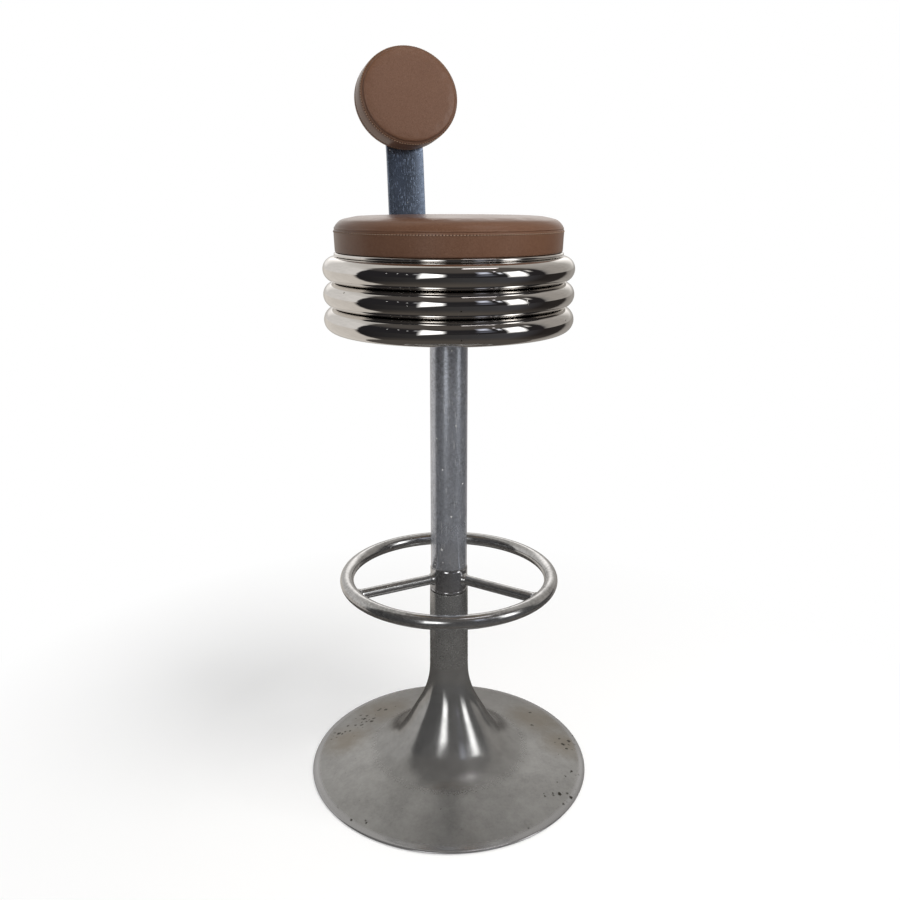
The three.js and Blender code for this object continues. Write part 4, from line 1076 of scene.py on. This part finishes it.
def make_floor():
    """A pale floor that keeps the stool's shadow and turns plain white further out."""
    bm = bmesh.new()
    bmesh.ops.create_grid(bm, x_segments=1, y_segments=1, size=FLOOR_SIZE)
    mesh = bpy.data.meshes.new("floor")
    bm.to_mesh(mesh)
    bm.free()
    floor = bpy.data.objects.new("floor", mesh)
    scene.collection.objects.link(floor)
    material = bpy.data.materials.new("floor")
    material.use_nodes = True
    tree = material.node_tree
    shader = tree.nodes["Principled BSDF"]
    shader.inputs["Base Color"].default_value = (0.88, 0.88, 0.88, 1)
    shader.inputs["Roughness"].default_value = 0.9
    shader.inputs["Specular IOR Level"].default_value = 0.0
    white = add(tree, "ShaderNodeEmission", Color=(1, 1, 1, 1), Strength=1.0)
    reach = add(tree, "ShaderNodeVectorMath", {0: object_vector(tree)}, operation="LENGTH")
    far = ramp(tree, maths(tree, "MULTIPLY", reach.outputs["Value"], 0.5), [(0.20, 0.38), (0.43, 1.0)])
    both = add(tree, "ShaderNodeMixShader", {0: far, 1: shader.outputs[0], 2: white.outputs[0]})
    tree.links.new(both.outputs[0], tree.nodes["Material Output"].inputs["Surface"])
    mesh.materials.append(material)
    floor.visible_glossy = False


def make_world():
    """White for the camera, an even fill for soft light, and a room with a dark side for reflections."""
    world = bpy.data.worlds.new("studio")
    scene.world = world
    world.use_nodes = True
    world.cycles.sampling_method = "NONE"
    tree = world.node_tree
    tree.nodes.clear()
    way = add(tree, "ShaderNodeTexCoord").outputs["Generated"]
    turn = math.radians(CAMERA_AZIMUTH)
    near = vector_maths(tree, "DOT_PRODUCT", way, (math.sin(turn), -math.cos(turn), 0), "Value")
    side = vector_maths(tree, "DOT_PRODUCT", way, (math.cos(turn), math.sin(turn), 0), "Value")
    clutter = add(tree, "ShaderNodeTexNoise", {"Vector": way}, Scale=9.0, Detail=4.0, Roughness=0.7)
    wobble = maths(tree, "MULTIPLY", maths(tree, "SUBTRACT", clutter.outputs["Fac"], 0.5), 0.020)
    angle = maths(tree, "ARCTAN2", side, near)
    around = maths(tree, "ADD", maths(tree, "MULTIPLY", angle, 0.5 / math.pi), 0.5)
    around = maths(tree, "ADD", around, wobble)
    height = add(tree, "ShaderNodeSeparateXYZ", {"Vector": way}).outputs["Z"]
    wall = ramp(tree, around, WALL_TONES)
    close_by = ramp(tree, around, FLOOR_TONES)
    skirt = ramp(tree, around, SKIRT_TONES)
    depth = ramp(tree, maths(tree, "ADD", height, 1.0), [(0.08, 0.0), (0.50, 1.0)])
    floor = mix_colour(tree, depth, close_by, skirt)
    ceiling = ramp(tree, around, CEILING_TONES)
    upper = ramp(tree, height, [(0.0, 0.0), (0.52, 0.0), (0.72, 1.0)])
    above = mix_colour(tree, upper, wall, ceiling)
    horizon = ramp(tree, maths(tree, "ADD", height, 0.5), [(0.47, 0.0), (0.50, 1.0)])
    room = mix_colour(tree, horizon, floor, above)
    patches = ramp(tree, clutter.outputs["Fac"], [(0.35, 0.92), (0.70, 1.05)])
    mottled = add(tree, "ShaderNodeMix", data_type="RGBA", blend_type="MULTIPLY")
    mottled.inputs["Factor"].default_value = 1.0
    colours = [s for s in mottled.inputs if s.type == "RGBA"]
    tree.links.new(room, colours[0])
    tree.links.new(patches, colours[1])
    paths = tree.nodes.new("ShaderNodeLightPath")
    shown = maths(tree, "MAXIMUM", paths.outputs["Is Camera Ray"], paths.outputs["Is Transmission Ray"])
    fill = add(tree, "ShaderNodeBackground", Color=(1, 1, 1, 1), Strength=0.46)
    seen = add(tree, "ShaderNodeBackground", Color=(1, 1, 1, 1), Strength=1.0)
    mirrored = add(tree, "ShaderNodeBackground", Strength=1.0)
    tree.links.new([s for s in mottled.outputs if s.type == "RGBA"][0], mirrored.inputs["Color"])
    first = add(tree, "ShaderNodeMixShader",
                {0: paths.outputs["Is Glossy Ray"], 1: fill.outputs[0], 2: mirrored.outputs[0]})
    second = add(tree, "ShaderNodeMixShader", {0: shown, 1: first.outputs[0], 2: seen.outputs[0]})
    out = tree.nodes.new("ShaderNodeOutputWorld")
    tree.links.new(second.outputs[0], out.inputs["Surface"])


def area_light(name, azimuth, elevation, reach, size, power, colour):
    """A round lamp aimed at the stool, which reflections don't see."""
    data = bpy.data.lights.new(name, "AREA")
    data.shape = "DISK"
    data.size = size
    data.energy = power
    data.color = colour
    lamp = bpy.data.objects.new(name, data)
    scene.collection.objects.link(lamp)
    turn = math.radians(CAMERA_AZIMUTH + azimuth)
    rise = math.radians(elevation)
    way = Vector((math.sin(turn) * math.cos(rise), -math.cos(turn) * math.cos(rise), math.sin(rise)))
    lamp.location = LAMP_AIM + way * reach
    lamp.rotation_euler = (LAMP_AIM - lamp.location).to_track_quat("-Z", "Y").to_euler()
    lamp.visible_glossy = False


def overhead_strip():
    """The long lamp high over the stool, as the metal mirrors it."""
    turn = math.radians(CAMERA_AZIMUTH)
    right = Vector((math.cos(turn), math.sin(turn), 0))
    away = Vector((-math.sin(turn), math.cos(turn), 0))
    bm = bmesh.new()
    corners = [right * x + away * y + Vector((0, 0, STRIP_HEIGHT)) for x, y in STRIP_OUTLINE]
    bm.faces.new([bm.verts.new(corner) for corner in corners])
    reflection_only("strip_overhead", bm, emission("strip_overhead", STRIP_COLOUR, STRIP_STRENGTH))


def near_floor():
    """The dark floor close round the stool, as the bright metal mirrors it."""
    bm = bmesh.new()
    bmesh.ops.create_circle(bm, cap_ends=True, segments=48, radius=NEAR_FLOOR_REACH)
    bmesh.ops.translate(bm, verts=bm.verts, vec=(0, 0, NEAR_FLOOR_LIFT))
    reflection_only("near_floor", bm, emission("near_floor", NEAR_FLOOR_TONE))


def make_studio():
    make_floor()
    near_floor()
    make_world()
    for lamp in LAMPS:
        area_light(*lamp)
    for name, start, end, low, high, colour, strength, taper in WINDOWS:
        bottom, top = (HOOP_HEIGHT + WINDOW_REACH * math.tan(math.radians(rise)) for rise in (low, high))
        card(name, start, end, bottom, top, WINDOW_REACH, colour, strength, taper)
    card("light_behind", *LIGHT_BEHIND)
    overhead_strip()


def make_camera():
    data = bpy.data.cameras.new("camera")
    data.sensor_width = SENSOR
    data.lens = FOCAL_PIXELS / PHOTO_SIZE * SENSOR
    data.shift_y = (PHOTO_CENTRE_Y - PHOTO_SIZE / 2) / PHOTO_SIZE
    camera = bpy.data.objects.new("camera", data)
    scene.collection.objects.link(camera)
    turn = math.radians(CAMERA_AZIMUTH)
    side = (PHOTO_SIZE / 2 - PHOTO_AXIS_X) / FOCAL_PIXELS * CAMERA_REACH
    camera.location = (CAMERA_REACH * math.sin(turn) + side * math.cos(turn),
                       -CAMERA_REACH * math.cos(turn) + side * math.sin(turn), CAMERA_HEIGHT)
    camera.rotation_euler = (math.radians(90 - CAMERA_PITCH), 0, turn)
    scene.camera = camera


make_camera()
make_base()
make_column()
make_hub()
make_footrest()
make_hoops()
make_pan()
make_boards()
make_seat_cushion()
make_bar()
make_back_pad()
make_studio()

scene.view_settings.view_transform = "Standard"
